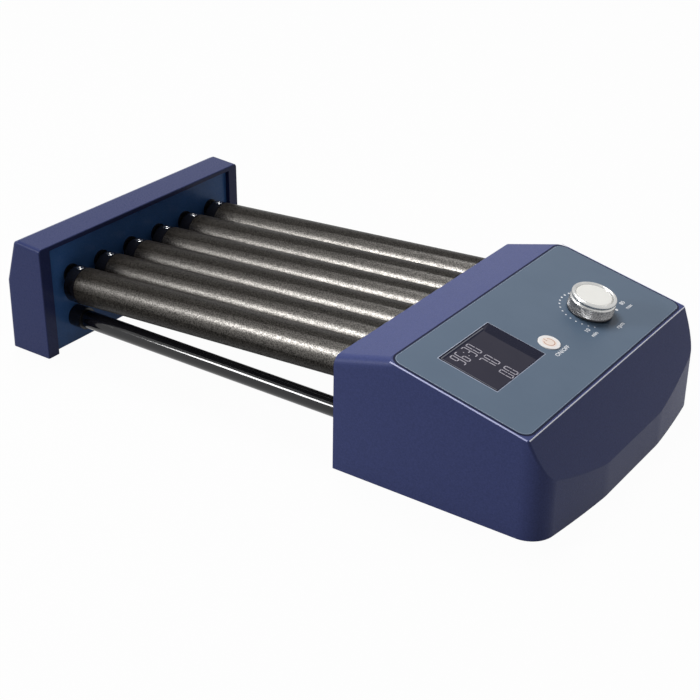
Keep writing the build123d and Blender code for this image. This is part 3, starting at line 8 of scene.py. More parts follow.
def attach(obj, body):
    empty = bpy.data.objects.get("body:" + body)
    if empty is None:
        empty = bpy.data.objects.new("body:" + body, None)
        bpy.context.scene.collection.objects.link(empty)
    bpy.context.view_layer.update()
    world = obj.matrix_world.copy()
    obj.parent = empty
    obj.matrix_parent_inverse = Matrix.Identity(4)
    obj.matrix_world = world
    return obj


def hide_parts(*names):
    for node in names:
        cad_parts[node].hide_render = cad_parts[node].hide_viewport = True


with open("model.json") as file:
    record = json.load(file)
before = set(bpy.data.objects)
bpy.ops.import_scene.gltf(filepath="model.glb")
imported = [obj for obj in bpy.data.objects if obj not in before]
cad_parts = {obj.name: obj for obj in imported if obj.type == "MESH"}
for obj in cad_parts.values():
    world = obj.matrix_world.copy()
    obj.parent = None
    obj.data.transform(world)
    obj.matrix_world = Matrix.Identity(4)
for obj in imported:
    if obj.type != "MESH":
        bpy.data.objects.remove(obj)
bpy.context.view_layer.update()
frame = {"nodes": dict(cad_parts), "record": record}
nodes = frame["nodes"]

MM = 0.001

# Camera, found by fitting the object's edges in the photograph
IMAGE_SIZE = 700
FOCAL_PIXELS = 1431.78
PRINCIPAL_POINT = (341.74, 346.29)
CAMERA_PLACE = Vector((593.86, -841.16, 562.52)) * MM
CAMERA_PITCH = radians(27.409)
CAMERA_AZIMUTH = radians(35.368)
CAMERA_ROLL = radians(0.179)
SENSOR_WIDTH = 36.0

# Panel of the drive head: crest and front edge in the side view, then what sits on it
CREST = Vector((122.1, 0, 107.7)) * MM
PANEL_FRONT = Vector((233.7, 0, 82.0)) * MM
OVERLAY_TOP = 0.3 * MM
WINDOW_TOP = 0.4 * MM
DISPLAY_Y = (-94.0 * MM, -26.6 * MM)
DISPLAY_S = (23.0 * MM, 71.7 * MM)
BUTTON_AT = (-11.5 * MM, 66.7 * MM)
BUTTON_TOP = 0.9 * MM
KNOB_AT = (53.65 * MM, 65.8 * MM)
DIAL_RADIUS = 23.06 * MM
DIAL_DOTS = 22
DIAL_SPAN = radians(256)
DIAL_DOT_RADII = (0.5 * MM, 1.2 * MM)
INK_HEIGHT = 0.03 * MM
GROOVE_SHADE_WIDTH = 1.6 * MM
RIM_WIDTH = 0.55 * MM
PANEL_LENGTH = 114.52 * MM
PANEL_EDGE_RADIUS = 1.0 * MM
OVERLAY_HALF = 121.6 * MM
OVERLAY_SPAN = (1.8 * MM, 111.5 * MM)
OVERLAY_CORNER = 8.0 * MM
CORNER_STEPS = 10
HALF_WIDTH = 125.0 * MM

# Painted highlight on the panel's rounded edges, pale strips in place of the light the roundings catch: span
# of each strip, and the part of the rounding that it covers
FRONT_TURN = radians(53.07)
FRONT_SHINE_HALF = 123.4 * MM
FRONT_SHINE_START = radians(6)
SIDE_SHINE_SPAN = (3.0 * MM, 113.2 * MM)
SIDE_SHINE_ARC = (radians(-14), radians(55))
SHINE_LIFT = 0.03 * MM
SHINE_STATIONS = 24
SHINE_ARC_STEPS = 6

# Rollers: crossing points of their tilted axes, and the clamping screw in each cover-side cap
ROLLER_CROSSING = Vector((-70.3, 0, 69.0)) * MM
ROLLER_TILT = atan(0.055)
ROLLER_PITCH = 35.6 * MM
ROLLER_COUNT = 6
CAP_SCREW_ALONG = -133.2 * MM
CAP_SCREW_PROFILE = ((1.5, 15.16), (1.7, 15.30), (2.2, 15.36), (2.7, 15.30), (2.9, 15.16))

# Display: lines and shaded strips in millimetres, all as spans along y and down the slope
DISPLAY_FRAME_WIDTH = 0.5 * MM
DISPLAY_CORNER = 0.3 * MM
WINDOW_RIM_REACH = (0.05 * MM, 0.5 * MM)  # inner, outer
WINDOW_RIM_HEIGHT = (0.08 * MM, 0.01 * MM)  # inner, outer
DISPLAY_STRIPS = (((-94.0, -26.6), (23.0, 24.1)), ((-91.6, -37.0), (25.2, 26.5)))
DISPLAY_LINES = (((-93.0, -36.0), (24.3, 25.1)), ((-93.0, -92.4), (24.3, 70.9)))
# Painted shade over the display window's far side: its outline, the rounding of its corner and its steps
SHADE_OUTLINE = ((-38.5, -71.2), (-27.1, -71.2), (-27.1, -24.3))
SHADE_ROUNDING = (-36.5, -28.5, 2.0)
SHADE_STEPS = 8

# Readout: name, text and the spans of each row in millimetres; then shares of a digit's pitch
READOUT_ROWS = (
    ("readout_time", "96:30", (-86.5, -60.8), (27.9, 39.8)),
    ("readout_speed", "70", (-72.3, -61.6), (43.6, 55.4)),
    ("readout_count", "00", (-72.8, -61.9), (60.2, 70.6)),
)
DIGIT_BAR = 0.82 * MM
DIGIT_SHARE = 0.57
COLON_SHARE = 0.45
END_SHARE = 0.28
COLON_DOT_AT = 0.08
COLON_DOT_BARS = 0.6
POINT_GAP_BARS = 0.22
SEGMENTS = {"0": "abcdef", "3": "abgcd", "6": "afgedc", "7": "abc", "9": "abcdfg"}

# Small words: name, text, place along y and down the slope and letter height in millimetres, and stretch
WORDS = (
    ("button_label", "ON/OFF", -12.5, 78.6, 4.4, 1.16),
    ("dial_low_number", "10", 26.9, 78.3, 4.6, 1.25),
    ("dial_low_unit", "min", 27.0, 84.3, 4.4, 1.25),
    ("dial_unit", "rpm", 54.5, 91.9, 4.8, 1.3),
    ("dial_high_number", "80", 84.5, 78.5, 4.6, 1.25),
    ("dial_high_unit", "max", 84.3, 84.3, 4.4, 1.1),
)
LETTER_WEIGHT = 0.012

# Power sign on the button
RING_RADIUS = 4.1 * MM
RING_WIDTH = 0.62 * MM
RING_OPENING = radians(70)
RING_STEPS = 40
RING_BAR = (1.8 * MM, 5.2 * MM)
HALO_RADIUS = 5.6 * MM

# Knob: radii in millimetres before its girth is applied, heights above the panel
KNOB_GIRTH = 0.915
KNOB_FOOT_SHARE = 0.965
KNURL_PITCHES = 84
KNURL_STEPS = 4
KNURL_ROWS = 22
KNURL_FOOT, KNURL_HEAD = 2.45, 10.15
KNURL_CORE, KNURL_DEPTH = 18.95, 0.55
TURNED_STEPS = 144
CAP_STEPS = 96
FOOT_PROFILE = (
    (16.4, 3.8), (16.4, 1.0), (19.6, 1.0), (20.0, 1.15), (20.2, 1.55), (20.15, 2.0), (19.8, 2.35),
    (19.2, 2.42),
)
RIM_PROFILE = (
    (18.95, 10.15), (18.3, 10.45), (17.95, 10.8), (17.9, 11.3), (18.1, 11.7), (18.6, 12.0), (18.95, 12.4),
    (19.1, 12.9), (19.1, 13.4), (18.95, 13.9), (18.6, 14.35), (18.1, 14.65), (17.5, 14.8), (16.9, 14.78),
    (16.35, 14.6), (15.9, 14.25), (15.6, 13.8), (15.42, 13.35), (15.4, 13.0),
)
KNOB_CAP_PROFILE = (
    (15.4, 13.0), (15.3, 13.5), (14.9, 13.85), (14.3, 14.0), (13.4, 14.02), (9.0, 13.98), (4.0, 13.96),
    (0.4, 13.95),
)

# Stage: the floor's own colour, then how white floor and world are where the camera or a reflection sees them
FLOOR_HALF = 6
FLOOR_COLOR = (0.42, 0.42, 0.42, 1)
FLOOR_ROUGHNESS = 0.9
FLOOR_SEEN = 0.972
FLOOR_REFLECTED = 0.85
WORLD_LIGHT = 0.13
WORLD_SEEN = 1.0
WHITE = (1, 1, 1, 1)

# Lamps: name, place, target, width and height, all in metres, and power in watts
LAMPS = (
    ("key_light", (-0.7, 0.4, 2.6), (0, 0, 0.05), (1.2, 1.2), 60),
    ("near_light", (-0.82, -1.09, 0.76), (-0.02, 0, 0.07), (0.34, 0.34), 12),
)

panel_down = (PANEL_FRONT - CREST).normalized()
panel_normal = Vector((-panel_down.z, 0, panel_down.x))


def panel_matrix(y, s, lift=0.0):
    """Frame on the panel: x runs along the width, y up the slope and z along the panel's normal."""
    place = CREST + panel_down * s + Vector((0, y, 0)) + panel_normal * lift
    axes = Matrix((Vector((0, 1, 0)), -panel_down, panel_normal)).transposed()
    return Matrix.Translation(place) @ axes.to_4x4()


# Materials

def new_material(name):
    material = bpy.data.materials.new(name)
    material.use_nodes = True
    tree = material.node_tree
    shader = tree.nodes["Principled BSDF"]
    return material, tree, shader


def noise(tree, scale, detail, roughness=0.5):
    """Noise over the object's own coordinates, in metres."""
    coordinates = tree.nodes.new("ShaderNodeTexCoord")
    texture = tree.nodes.new("ShaderNodeTexNoise")
    texture.inputs["Scale"].default_value = scale
    texture.inputs["Detail"].default_value = detail
    texture.inputs["Roughness"].default_value = roughness
    tree.links.new(coordinates.outputs["Object"], texture.inputs["Vector"])
    return texture.outputs["Fac"]


def spread(tree, value, low, high, from_low=0.3, from_high=0.7):
    """Maps a noise value onto a range."""
    ranger = tree.nodes.new("ShaderNodeMapRange")
    ranger.inputs["From Min"].default_value = from_low
    ranger.inputs["From Max"].default_value = from_high
    ranger.inputs["To Min"].default_value = low
    ranger.inputs["To Max"].default_value = high
    tree.links.new(value, ranger.inputs["Value"])
    return ranger.outputs["Result"]


def blend_colors(tree, value, low, high):
    """Colour between two, by a noise value."""
    ramp = tree.nodes.new("ShaderNodeValToRGB")
    ramp.color_ramp.elements[0].color = (*low, 1)
    ramp.color_ramp.elements[1].color = (*high, 1)
    ramp.color_ramp.elements[0].position = 0.3
    ramp.color_ramp.elements[1].position = 0.7
    tree.links.new(value, ramp.inputs["Fac"])
    return ramp.outputs["Color"]


def add_bump(tree, shader, height, depth, under=None):
    """Relief of a height value, over another relief where one is given."""
    bump = tree.nodes.new("ShaderNodeBump")
    bump.inputs["Distance"].default_value = depth
    bump.inputs["Strength"].default_value = 1.0
    tree.links.new(height, bump.inputs["Height"])
    if under:
        tree.links.new(under, bump.inputs["Normal"])
    tree.links.new(bump.outputs["Normal"], shader.inputs["Normal"])
    return bump.outputs["Normal"]


def grained(name, low, high, roughness, grain_scale, grain_depth, mottle_scale=60, metallic=0.0,
            specular=0.5):
    """A surface with a mottled colour, a varied roughness and a fine bump of one grain size."""
    material, tree, shader = new_material(name)
    mottle = noise(tree, mottle_scale, 3.0)
    fine = noise(tree, grain_scale, 2.0)
    tree.links.new(blend_colors(tree, mottle, low, high), shader.inputs["Base Color"])
    tree.links.new(spread(tree, fine, roughness[0], roughness[1]), shader.inputs["Roughness"])
    shader.inputs["Metallic"].default_value = metallic
    shader.inputs["Specular IOR Level"].default_value = specular
    add_bump(tree, shader, fine, grain_depth)
    return material


navy_housing = grained(
    "navy_housing", (0.038, 0.050, 0.146), (0.048, 0.062, 0.184), (0.36, 0.50), 1300, 0.09 * MM,
    mottle_scale=900, specular=0.13,
)
# A darker copy of the housing navy for the cover: painted shade; its lower roughness is the paint's own gloss
shaded_navy_cover = grained(
    "shaded_navy_cover", (0.024, 0.032, 0.102), (0.030, 0.040, 0.120), (0.24, 0.34), 1300, 0.04 * MM,
    mottle_scale=900, specular=0.10,
)
navy_plate = grained(
    "navy_plate", (0.047, 0.132, 0.352), (0.056, 0.150, 0.386), (0.22, 0.32), 1500, 0.03 * MM,
    specular=0.12,
)
overlay_film = grained(
    "overlay_film", (0.080, 0.122, 0.182), (0.088, 0.132, 0.194), (0.36, 0.42), 2200, 0.006 * MM, 30,
    specular=0.30,
)
# Pale edge of the overlay and of the display window: painted highlight of the light caught by their cut edges
painted_rim_highlight = grained(
    "painted_rim_highlight", (0.36, 0.40, 0.52), (0.44, 0.48, 0.60), (0.30, 0.40), 2200, 0.006 * MM,
)
# Near-black navy for the band round the overlay: painted shade of the groove
painted_groove_shade = grained(
    "painted_groove_shade", (0.006, 0.008, 0.030), (0.010, 0.012, 0.040), (0.5, 0.6), 1800, 0.01 * MM,
    specular=0.1,
)
# Pale strips on the panel's edge roundings: painted highlight, whiter on the front edge than on the sides
painted_edge_highlight = grained(
    "painted_edge_highlight", (0.34, 0.36, 0.60), (0.44, 0.46, 0.70), (0.22, 0.32), 1600, 0.03 * MM,
)
painted_front_highlight = grained(
    "painted_front_highlight", (0.76, 0.77, 0.86), (0.84, 0.85, 0.92), (0.22, 0.32), 1600, 0.02 * MM,
)
display_glass = grained(
    "display_glass", (0.018, 0.017, 0.034), (0.022, 0.020, 0.038), (0.16, 0.22), 600, 0.002 * MM, 40,
    specular=0.12,
)
# Near-black for the display's frame lines and for the painted shade on the window's far side
display_shade = grained(
    "display_shade", (0.008, 0.009, 0.024), (0.010, 0.011, 0.028), (0.2, 0.3), 600, 0.002 * MM, 40,
    specular=0.05,
)
display_line = grained(
    "display_line", (0.070, 0.074, 0.095), (0.084, 0.088, 0.110), (0.3, 0.4), 900, 0.002 * MM, 40,
)
display_dark = grained(
    "display_dark", (0.012, 0.012, 0.018), (0.016, 0.016, 0.022), (0.4, 0.5), 900, 0.01 * MM,
)
board_green = grained(
    "board_green", (0.010, 0.090, 0.035), (0.016, 0.120, 0.050), (0.35, 0.5), 700, 0.03 * MM,
)
button_white = grained(
    "button_white", (0.84, 0.82, 0.81), (0.88, 0.86, 0.85), (0.28, 0.36), 1500, 0.006 * MM,
)
# A warm pale disc round the power sign: painted glow, not a lamp
painted_button_glow = grained(
    "painted_button_glow", (0.86, 0.74, 0.66), (0.90, 0.79, 0.72), (0.3, 0.4), 1500, 0.004 * MM,
)
knob_metal = grained(
    "knob_metal", (0.50, 0.50, 0.49), (0.60, 0.60, 0.59), (0.16, 0.28), 900, 0.01 * MM, metallic=1.0,
)
knob_ivory = grained(
    "knob_ivory", (0.84, 0.83, 0.79), (0.88, 0.87, 0.83), (0.28, 0.38), 900, 0.006 * MM,
)
# A darker copy of the knob's metal for the knurled skirt: painted shade of the knurl
shaded_knurl_metal = grained(
    "shaded_knurl_metal", (0.16, 0.16, 0.17), (0.36, 0.36, 0.36), (0.24, 0.36), 900, 0.01 * MM, 900,
    metallic=1.0,
)
# A near-black copy of the knob's metal: painted shade on the knob's foot
shadowed_metal = grained(
    "shadowed_metal", (0.045, 0.045, 0.050), (0.080, 0.080, 0.085), (0.30, 0.42), 900, 0.01 * MM,
    metallic=1.0,
)
cap_black = grained(
    "cap_black", (0.004, 0.004, 0.006), (0.007, 0.007, 0.009), (0.12, 0.20), 700, 0.006 * MM,
    specular=0.35,
)
rod_black = grained(
    "rod_black", (0.004, 0.004, 0.006), (0.007, 0.007, 0.009), (0.06, 0.12), 500, 0.002 * MM,
)
black_polymer = grained(
    "black_polymer", (0.006, 0.006, 0.008), (0.010, 0.010, 0.012), (0.20, 0.32), 1400, 0.02 * MM,
    specular=0.35,
)
gear_acetal = grained(
    "gear_acetal", (0.62, 0.61, 0.57), (0.70, 0.69, 0.65), (0.3, 0.42), 900, 0.02 * MM,
)
brass_gear = grained(
    "brass_gear", (0.55, 0.38, 0.15), (0.64, 0.46, 0.20), (0.25, 0.38), 1200, 0.01 * MM, metallic=1.0,
)
zinc_steel = grained(
    "zinc_steel", (0.40, 0.41, 0.42), (0.52, 0.52, 0.52), (0.3, 0.45), 1500, 0.015 * MM, metallic=1.0,
)
bright_steel = grained(
    "bright_steel", (0.55, 0.55, 0.56), (0.62, 0.62, 0.62), (0.15, 0.28), 1500, 0.006 * MM,
    metallic=1.0,
)
foot_rubber = grained(
    "foot_rubber", (0.012, 0.012, 0.012), (0.022, 0.022, 0.022), (0.6, 0.8), 1600, 0.05 * MM,
)
ink_white = grained("ink_white", (0.80, 0.81, 0.84), (0.86, 0.87, 0.90), (0.4, 0.5), 2000, 0.004 * MM)
ink_orange = grained("ink_orange", (0.46, 0.22, 0.14), (0.52, 0.27, 0.18), (0.4, 0.5), 2000, 0.004 * MM)
segment_light = grained(
    "segment_light", (0.36, 0.34, 0.40), (0.42, 0.40, 0.46), (0.4, 0.5), 2000, 0.004 * MM,
)


def blasted_sleeve():
    """Dark sleeve with a sandblasted skin: grains of two sizes turn the light into a glittering band."""
    material, tree, shader = new_material("sleeve_black")
    grain = noise(tree, 1050, 1.0, 0.4)
    coarse = noise(tree, 420, 2.0, 0.5)
    skin = blend_colors(tree, grain, (0.003, 0.0026, 0.0022), (0.028, 0.0245, 0.021))
    tree.links.new(skin, shader.inputs["Base Color"])
    tree.links.new(spread(tree, coarse, 0.28, 0.38), shader.inputs["Roughness"])
    shader.inputs["IOR"].default_value = 2.1
    shader.inputs["Specular Tint"].default_value = (1.0, 0.95, 0.89, 1)
    facing = tree.nodes.new("ShaderNodeLayerWeight")
    facing.inputs["Blend"].default_value = 0.5
    glitter = tree.nodes.new("ShaderNodeMath")
    glitter.operation = "MULTIPLY"
    tree.links.new(spread(tree, facing.outputs["Facing"], 1.0, 0.03, 0.05, 0.33), glitter.inputs[0])
    tree.links.new(spread(tree, grain, 0.36, 1.0, 0.38, 0.62), glitter.inputs[1])
    tree.links.new(glitter.outputs[0], shader.inputs["Specular IOR Level"])
    below = add_bump(tree, shader, coarse, 0.05 * MM)
    add_bump(tree, shader, grain, 0.06 * MM, under=below)
    return material


sleeve_black = blasted_sleeve()

SLOT_MATERIALS = {
    "navy_housing": navy_housing, "navy_plate": navy_plate, "overlay_film": overlay_film,
    "display_glass": display_glass, "display_dark": display_dark, "board_green": board_green,
    "button_white": button_white, "knob_metal": knob_metal, "knob_ivory": knob_ivory,
    "sleeve_black": sleeve_black, "cap_black": cap_black, "rod_black": rod_black,
    "black_polymer": black_polymer, "gear_acetal": gear_acetal, "brass_gear": brass_gear,
    "zinc_steel": zinc_steel, "bright_steel": bright_steel, "foot_rubber": foot_rubber,
}
for part in frame["record"]["subparts"]:
    mesh = nodes[part["node"]].data
    mesh.materials.clear()
    mesh.materials.append(SLOT_MATERIALS[part["material_slot"]])
# The cover shell takes the darker copy of the housing navy: painted shade
nodes["cover_shell"].data.materials[0] = shaded_navy_cover


# Printed and lit marks on the panel

def add_piece(name, bm, matrix, material, body):
    """Turns mesh geometry into a piece that rides a body and takes a material."""
    mesh = bpy.data.meshes.new(name)
    bm.transform(matrix)
    bm.normal_update()
    bm.to_mesh(mesh)
    bm.free()
    piece = bpy.data.objects.new(name, mesh)
    bpy.context.scene.collection.objects.link(piece)
    mesh.materials.append(material)
    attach(piece, body)
    return piece


def add_plate(bm, points, height=INK_HEIGHT):
    """A thin flat plate over an outline in the local plane."""
    vertices = [bm.verts.new((x, y, 0)) for x, y in points]
    face = bm.faces.new(vertices)
    raised = bmesh.ops.extrude_face_region(bm, geom=[face])["geom"]
    top = [item for item in raised if isinstance(item, bmesh.types.BMVert)]
    bmesh.ops.translate(bm, vec=(0, 0, height), verts=top)


def disc_points(radius, count, centre=(0.0, 0.0)):
    """Points of a circle in the local plane."""
    points = []
    for k in range(count):
        angle = 2 * pi * k / count
        points.append((centre[0] + radius * cos(angle), centre[1] + radius * sin(angle)))
    return points


def digit_bars(bm, digit, left, bottom, width, height, bar):
    """Seven-segment bars of one digit, with pointed ends."""
    gap = bar * POINT_GAP_BARS
    middle = bottom + height / 2
    ends = {
        "a": ((left, bottom + height), (left + width, bottom + height)),
        "g": ((left, middle), (left + width, middle)),
        "d": ((left, bottom), (left + width, bottom)),
        "f": ((left, middle), (left, bottom + height)),
        "b": ((left + width, middle), (left + width, bottom + height)),
        "e": ((left, bottom), (left, middle)),
        "c": ((left + width, bottom), (left + width, middle)),
    }
    for name in SEGMENTS[digit]:
        (x0, y0), (x1, y1) = ends[name]
        length = hypot(x1 - x0, y1 - y0)
        ux, uy = (x1 - x0) / length, (y1 - y0) / length
        half = bar / 2
        outline = []
        for along, across in ((gap, 0), (gap + half, -half), (length - gap - half, -half), (length - gap, 0),
                              (length - gap - half, half), (gap + half, half)):
            outline.append((x0 + ux * along - uy * across, y0 + uy * along + ux * across))
        add_plate(bm, outline)


def readout(name, text, y_from, y_to, s_from, s_to):
    """One row of digits; s grows down the panel, so the row's top is at s_from."""
    bm = bmesh.new()
    cells = [COLON_SHARE if c == ":" else 1.0 for c in text]
    pitch = (y_to - y_from) / (sum(cells) - END_SHARE)
    height = s_to - s_from
    at = y_from
    bar = DIGIT_BAR
    for c, cell in zip(text, cells):
        if c == ":":
            for share in (0.3, 0.7):
                centre = (at + pitch * COLON_DOT_AT, height * share)
                add_plate(bm, disc_points(bar * COLON_DOT_BARS, 12, centre))
        else:
            digit_bars(bm, c, at, 0.0, pitch * DIGIT_SHARE, height, bar)
        at += pitch * cell
    add_piece(name, bm, panel_matrix(0, s_to, WINDOW_TOP), segment_light, "frame")


for name, text, (y_from, y_to), (s_from, s_to) in READOUT_ROWS:
    readout(name, text, y_from * MM, y_to * MM, s_from * MM, s_to * MM)


def add_band(bm, outer, inner, outer_height, inner_height):
    """A closed strip between two outlines with as many points each."""
    rings = []
    for points, z in ((outer, outer_height), (inner, inner_height)):
        rings.append([bm.verts.new((x, y, z)) for x, y in points])
    count = len(outer)
    for k in range(count):
        bm.faces.new((rings[0][k], rings[0][(k + 1) % count], rings[1][(k + 1) % count], rings[1][k]))


def rounded_outline(x_span, y_span, corner):
    """Counter-clockwise outline of a rectangle with round corners."""
    points = []
    corners = (
        (x_span[1] - corner, y_span[1] - corner, 0), (x_span[0] + corner, y_span[1] - corner, 1),
        (x_span[0] + corner, y_span[0] + corner, 2), (x_span[1] - corner, y_span[0] + corner, 3),
    )
    for x, y, quarter in corners:
        for k in range(CORNER_STEPS + 1):
            angle = (quarter + k / CORNER_STEPS) * pi / 2
            points.append((x + corner * cos(angle), y + corner * sin(angle)))
    return points


def overlay_outline(grow):
    """Outline of the overlay in the panel's plane, grown outwards by a distance."""
    return rounded_outline(
        (-OVERLAY_HALF - grow, OVERLAY_HALF + grow), (-OVERLAY_SPAN[1] - grow, -OVERLAY_SPAN[0] + grow),
        OVERLAY_CORNER + grow,
    )


def grown_outline(x_span, y_span, grow, corner):
    """Rounded rectangle over two spans, grown outwards by a distance."""
    return rounded_outline(
        (x_span[0] - grow, x_span[1] + grow), (y_span[0] - grow, y_span[1] + grow), corner,
    )


def add_strips(bm, strips):
    """Flat strips given in millimetres as spans along y and down the slope."""
    for (y0, y1), (s0, s1) in strips:
        corners = ((y0, -s1), (y1, -s1), (y1, -s0), (y0, -s0))
        add_plate(bm, [(x * MM, y * MM) for x, y in corners])


# Painted shade in a dark band round the overlay where the groove's shade falls, painted highlight on the
# overlay's cut edge, and the display's lines
bm = bmesh.new()
add_band(bm, overlay_outline(GROOVE_SHADE_WIDTH), overlay_outline(0.1 * MM), INK_HEIGHT, INK_HEIGHT)
add_piece("painted_groove_shade", bm, panel_matrix(0, 0), painted_groove_shade, "frame")
bm = bmesh.new()
add_band(
    bm, overlay_outline(0.0), overlay_outline(-RIM_WIDTH), OVERLAY_TOP - 0.1 * MM, OVERLAY_TOP + INK_HEIGHT,
)
add_piece("painted_rim_highlight", bm, panel_matrix(0, 0), painted_rim_highlight, "frame")

display_y = (-DISPLAY_S[1], -DISPLAY_S[0])
bm = bmesh.new()
add_band(
    bm, rounded_outline(DISPLAY_Y, display_y, DISPLAY_CORNER),
    grown_outline(DISPLAY_Y, display_y, -DISPLAY_FRAME_WIDTH, DISPLAY_CORNER), INK_HEIGHT, INK_HEIGHT,
)
add_strips(bm, DISPLAY_STRIPS)
add_piece("display_frame", bm, panel_matrix(0, 0, WINDOW_TOP), display_shade, "frame")
bm = bmesh.new()
add_strips(bm, DISPLAY_LINES)
add_piece("display_line", bm, panel_matrix(0, 0, WINDOW_TOP), display_line, "frame")
# Painted shade: a dark patch over the display window's far side
bm = bmesh.new()
shade = [(x * MM, y * MM) for x, y in SHADE_OUTLINE]
turn_x, turn_y, turn_radius = SHADE_ROUNDING
for k in range(SHADE_STEPS + 1):
    angle = pi / 2 + k / SHADE_STEPS * pi / 2
    shade.append(((turn_x + turn_radius * cos(angle)) * MM, (turn_y + turn_radius * sin(angle)) * MM))
add_plate(bm, shade, INK_HEIGHT / 2)
add_piece("display_shade", bm, panel_matrix(0, 0, WINDOW_TOP), display_shade, "frame")
# Painted highlight round the display window's edge
bm = bmesh.new()
add_band(
    bm, grown_outline(DISPLAY_Y, display_y, WINDOW_RIM_REACH[1], WINDOW_RIM_REACH[1]),
    grown_outline(DISPLAY_Y, display_y, WINDOW_RIM_REACH[0], DISPLAY_CORNER),
    OVERLAY_TOP + WINDOW_RIM_HEIGHT[1], OVERLAY_TOP + WINDOW_RIM_HEIGHT[0],
)
add_piece("window_rim", bm, panel_matrix(0, 0), painted_rim_highlight, "frame")


def edge_strip(name, path, matrix, arc_from, arc_to, material):
    """A thin strip of painted highlight on an edge's rounding: its stations along x, and the arc of its
    section.
    """
    bm = bmesh.new()
    radius = PANEL_EDGE_RADIUS + SHINE_LIFT
    columns = []
    for x in path:
        column = []
        for k in range(SHINE_ARC_STEPS + 1):
            angle = arc_from + (arc_to - arc_from) * k / SHINE_ARC_STEPS
            column.append(bm.verts.new((x, radius * sin(angle), radius * cos(angle))))
        columns.append(column)
    for first, second in zip(columns, columns[1:]):
        for k in range(SHINE_ARC_STEPS):
            face = bm.faces.new((first[k], first[k + 1], second[k + 1], second[k]))
            face.smooth = True
    add_piece(name, bm, matrix, material, "frame")


def steps_between(low, high, count):
    """Even steps from one value to another, both included."""
    return [low + (high - low) * k / count for k in range(count + 1)]


# Painted highlight on the panel's rounded edges: front edge across the width, side edges down the slope
front_shift = (1 - cos(FRONT_TURN)) / sin(FRONT_TURN) * PANEL_EDGE_RADIUS
front_axes = Matrix((Vector((0, 1, 0)), panel_down, panel_normal)).transposed().to_4x4()
front_place = CREST + panel_down * (PANEL_LENGTH - front_shift) - panel_normal * PANEL_EDGE_RADIUS
front_matrix = Matrix.Translation(front_place) @ front_axes
front_stations = steps_between(-FRONT_SHINE_HALF, FRONT_SHINE_HALF, SHINE_STATIONS)
edge_strip("front_painted_edge_highlight", front_stations, front_matrix, FRONT_SHINE_START, FRONT_TURN, painted_front_highlight)
side_stations = steps_between(*SIDE_SHINE_SPAN, SHINE_STATIONS)
for side, label in ((-1, "near"), (1, "far")):
    axes = Matrix((panel_down, Vector((0, side, 0)), panel_normal)).transposed().to_4x4()
    place = CREST + Vector((0, side * (HALF_WIDTH - PANEL_EDGE_RADIUS), 0)) - panel_normal * PANEL_EDGE_RADIUS
    matrix = Matrix.Translation(place) @ axes
    edge_strip(f"{label}_painted_edge_highlight", side_stations, matrix, *SIDE_SHINE_ARC, painted_edge_highlight)


def millimetres(profile, girth=1.0):
    """A profile of (radius, height) in millimetres, in metres and with its radii scaled."""
    return [(radius * girth * MM, height * MM) for radius, height in profile]


def lathe(bm, profile, count):
    """Turns a profile of (radius, height) round the local z axis."""
    rings = []
    for radius, height in profile:
        points = disc_points(radius, count)
        rings.append([bm.verts.new((x, y, height)) for x, y in points])
    for lower, upper in zip(rings, rings[1:]):
        for k in range(count):
            face = bm.faces.new((lower[k], lower[(k + 1) % count], upper[(k + 1) % count], upper[k]))
            face.smooth = True
    return rings


# Knob: base ring, diamond knurl on the skirt, rolled rim over an undercut, and a dished cap
knob = bmesh.new()
lathe(knob, millimetres(FOOT_PROFILE, KNOB_GIRTH * KNOB_FOOT_SHARE), TURNED_STEPS)
# The base ring takes the near-black copy of the knob's metal: painted shade
for face in knob.faces:
    face.material_index = 2
lathe(knob, millimetres(RIM_PROFILE, KNOB_GIRTH), TURNED_STEPS)
around = KNURL_PITCHES * KNURL_STEPS
rows = []
for j in range(KNURL_ROWS + 1):
    height = KNURL_FOOT + (KNURL_HEAD - KNURL_FOOT) * j / KNURL_ROWS
    turn = height / (2 * pi * KNURL_CORE / KNURL_PITCHES)
    row = []
    for k in range(around):
        place = k / KNURL_STEPS
        slopes = [1 - abs(2 * ((place + lean) % 1.0) - 1) for lean in (turn, -turn)]
        radius = KNURL_CORE + KNURL_DEPTH * min(slopes) if 0 < j < KNURL_ROWS else KNURL_CORE
        angle = 2 * pi * k / around
        reach = radius * KNOB_GIRTH * MM
        row.append(knob.verts.new((reach * cos(angle), reach * sin(angle), height * MM)))
    rows.append(row)
# The knurled skirt takes the darker copy of the knob's metal: painted shade
for lower, upper in zip(rows, rows[1:]):
    for k in range(around):
        face = knob.faces.new((lower[k], lower[(k + 1) % around], upper[(k + 1) % around], upper[k]))
        face.material_index = 1
knob_piece = add_piece("knob_turned", knob, panel_matrix(*KNOB_AT), knob_metal, "knob")
knob_piece.data.materials.append(shaded_knurl_metal)
knob_piece.data.materials.append(shadowed_metal)
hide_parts("knob_body")
cap = bmesh.new()
cap_rings = lathe(cap, millimetres(KNOB_CAP_PROFILE, KNOB_GIRTH), CAP_STEPS)
cap.faces.new(cap_rings[-1])
cap_piece = add_piece("knob_cap_dished", cap, panel_matrix(*KNOB_AT), knob_ivory, "knob")
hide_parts("knob_cap")

# Steel faces of the clamping screws in the cover-side caps
roller_along = Vector((cos(ROLLER_TILT), 0, sin(ROLLER_TILT)))
roller_up = Vector((-sin(ROLLER_TILT), 0, cos(ROLLER_TILT)))
for i in range(ROLLER_COUNT):
    y = (i - (ROLLER_COUNT - 1) / 2) * ROLLER_PITCH
    place = ROLLER_CROSSING + Vector((0, y, 0)) + roller_along * CAP_SCREW_ALONG
    axes = Matrix((roller_along, roller_up.cross(roller_along), roller_up)).transposed().to_4x4()
    screw = bmesh.new()
    lathe(screw, millimetres(CAP_SCREW_PROFILE), 24)
    matrix = Matrix.Translation(place) @ axes
    add_piece(f"clamp_face_{i + 1}", screw, matrix, bright_steel, f"roller_{i + 1}")

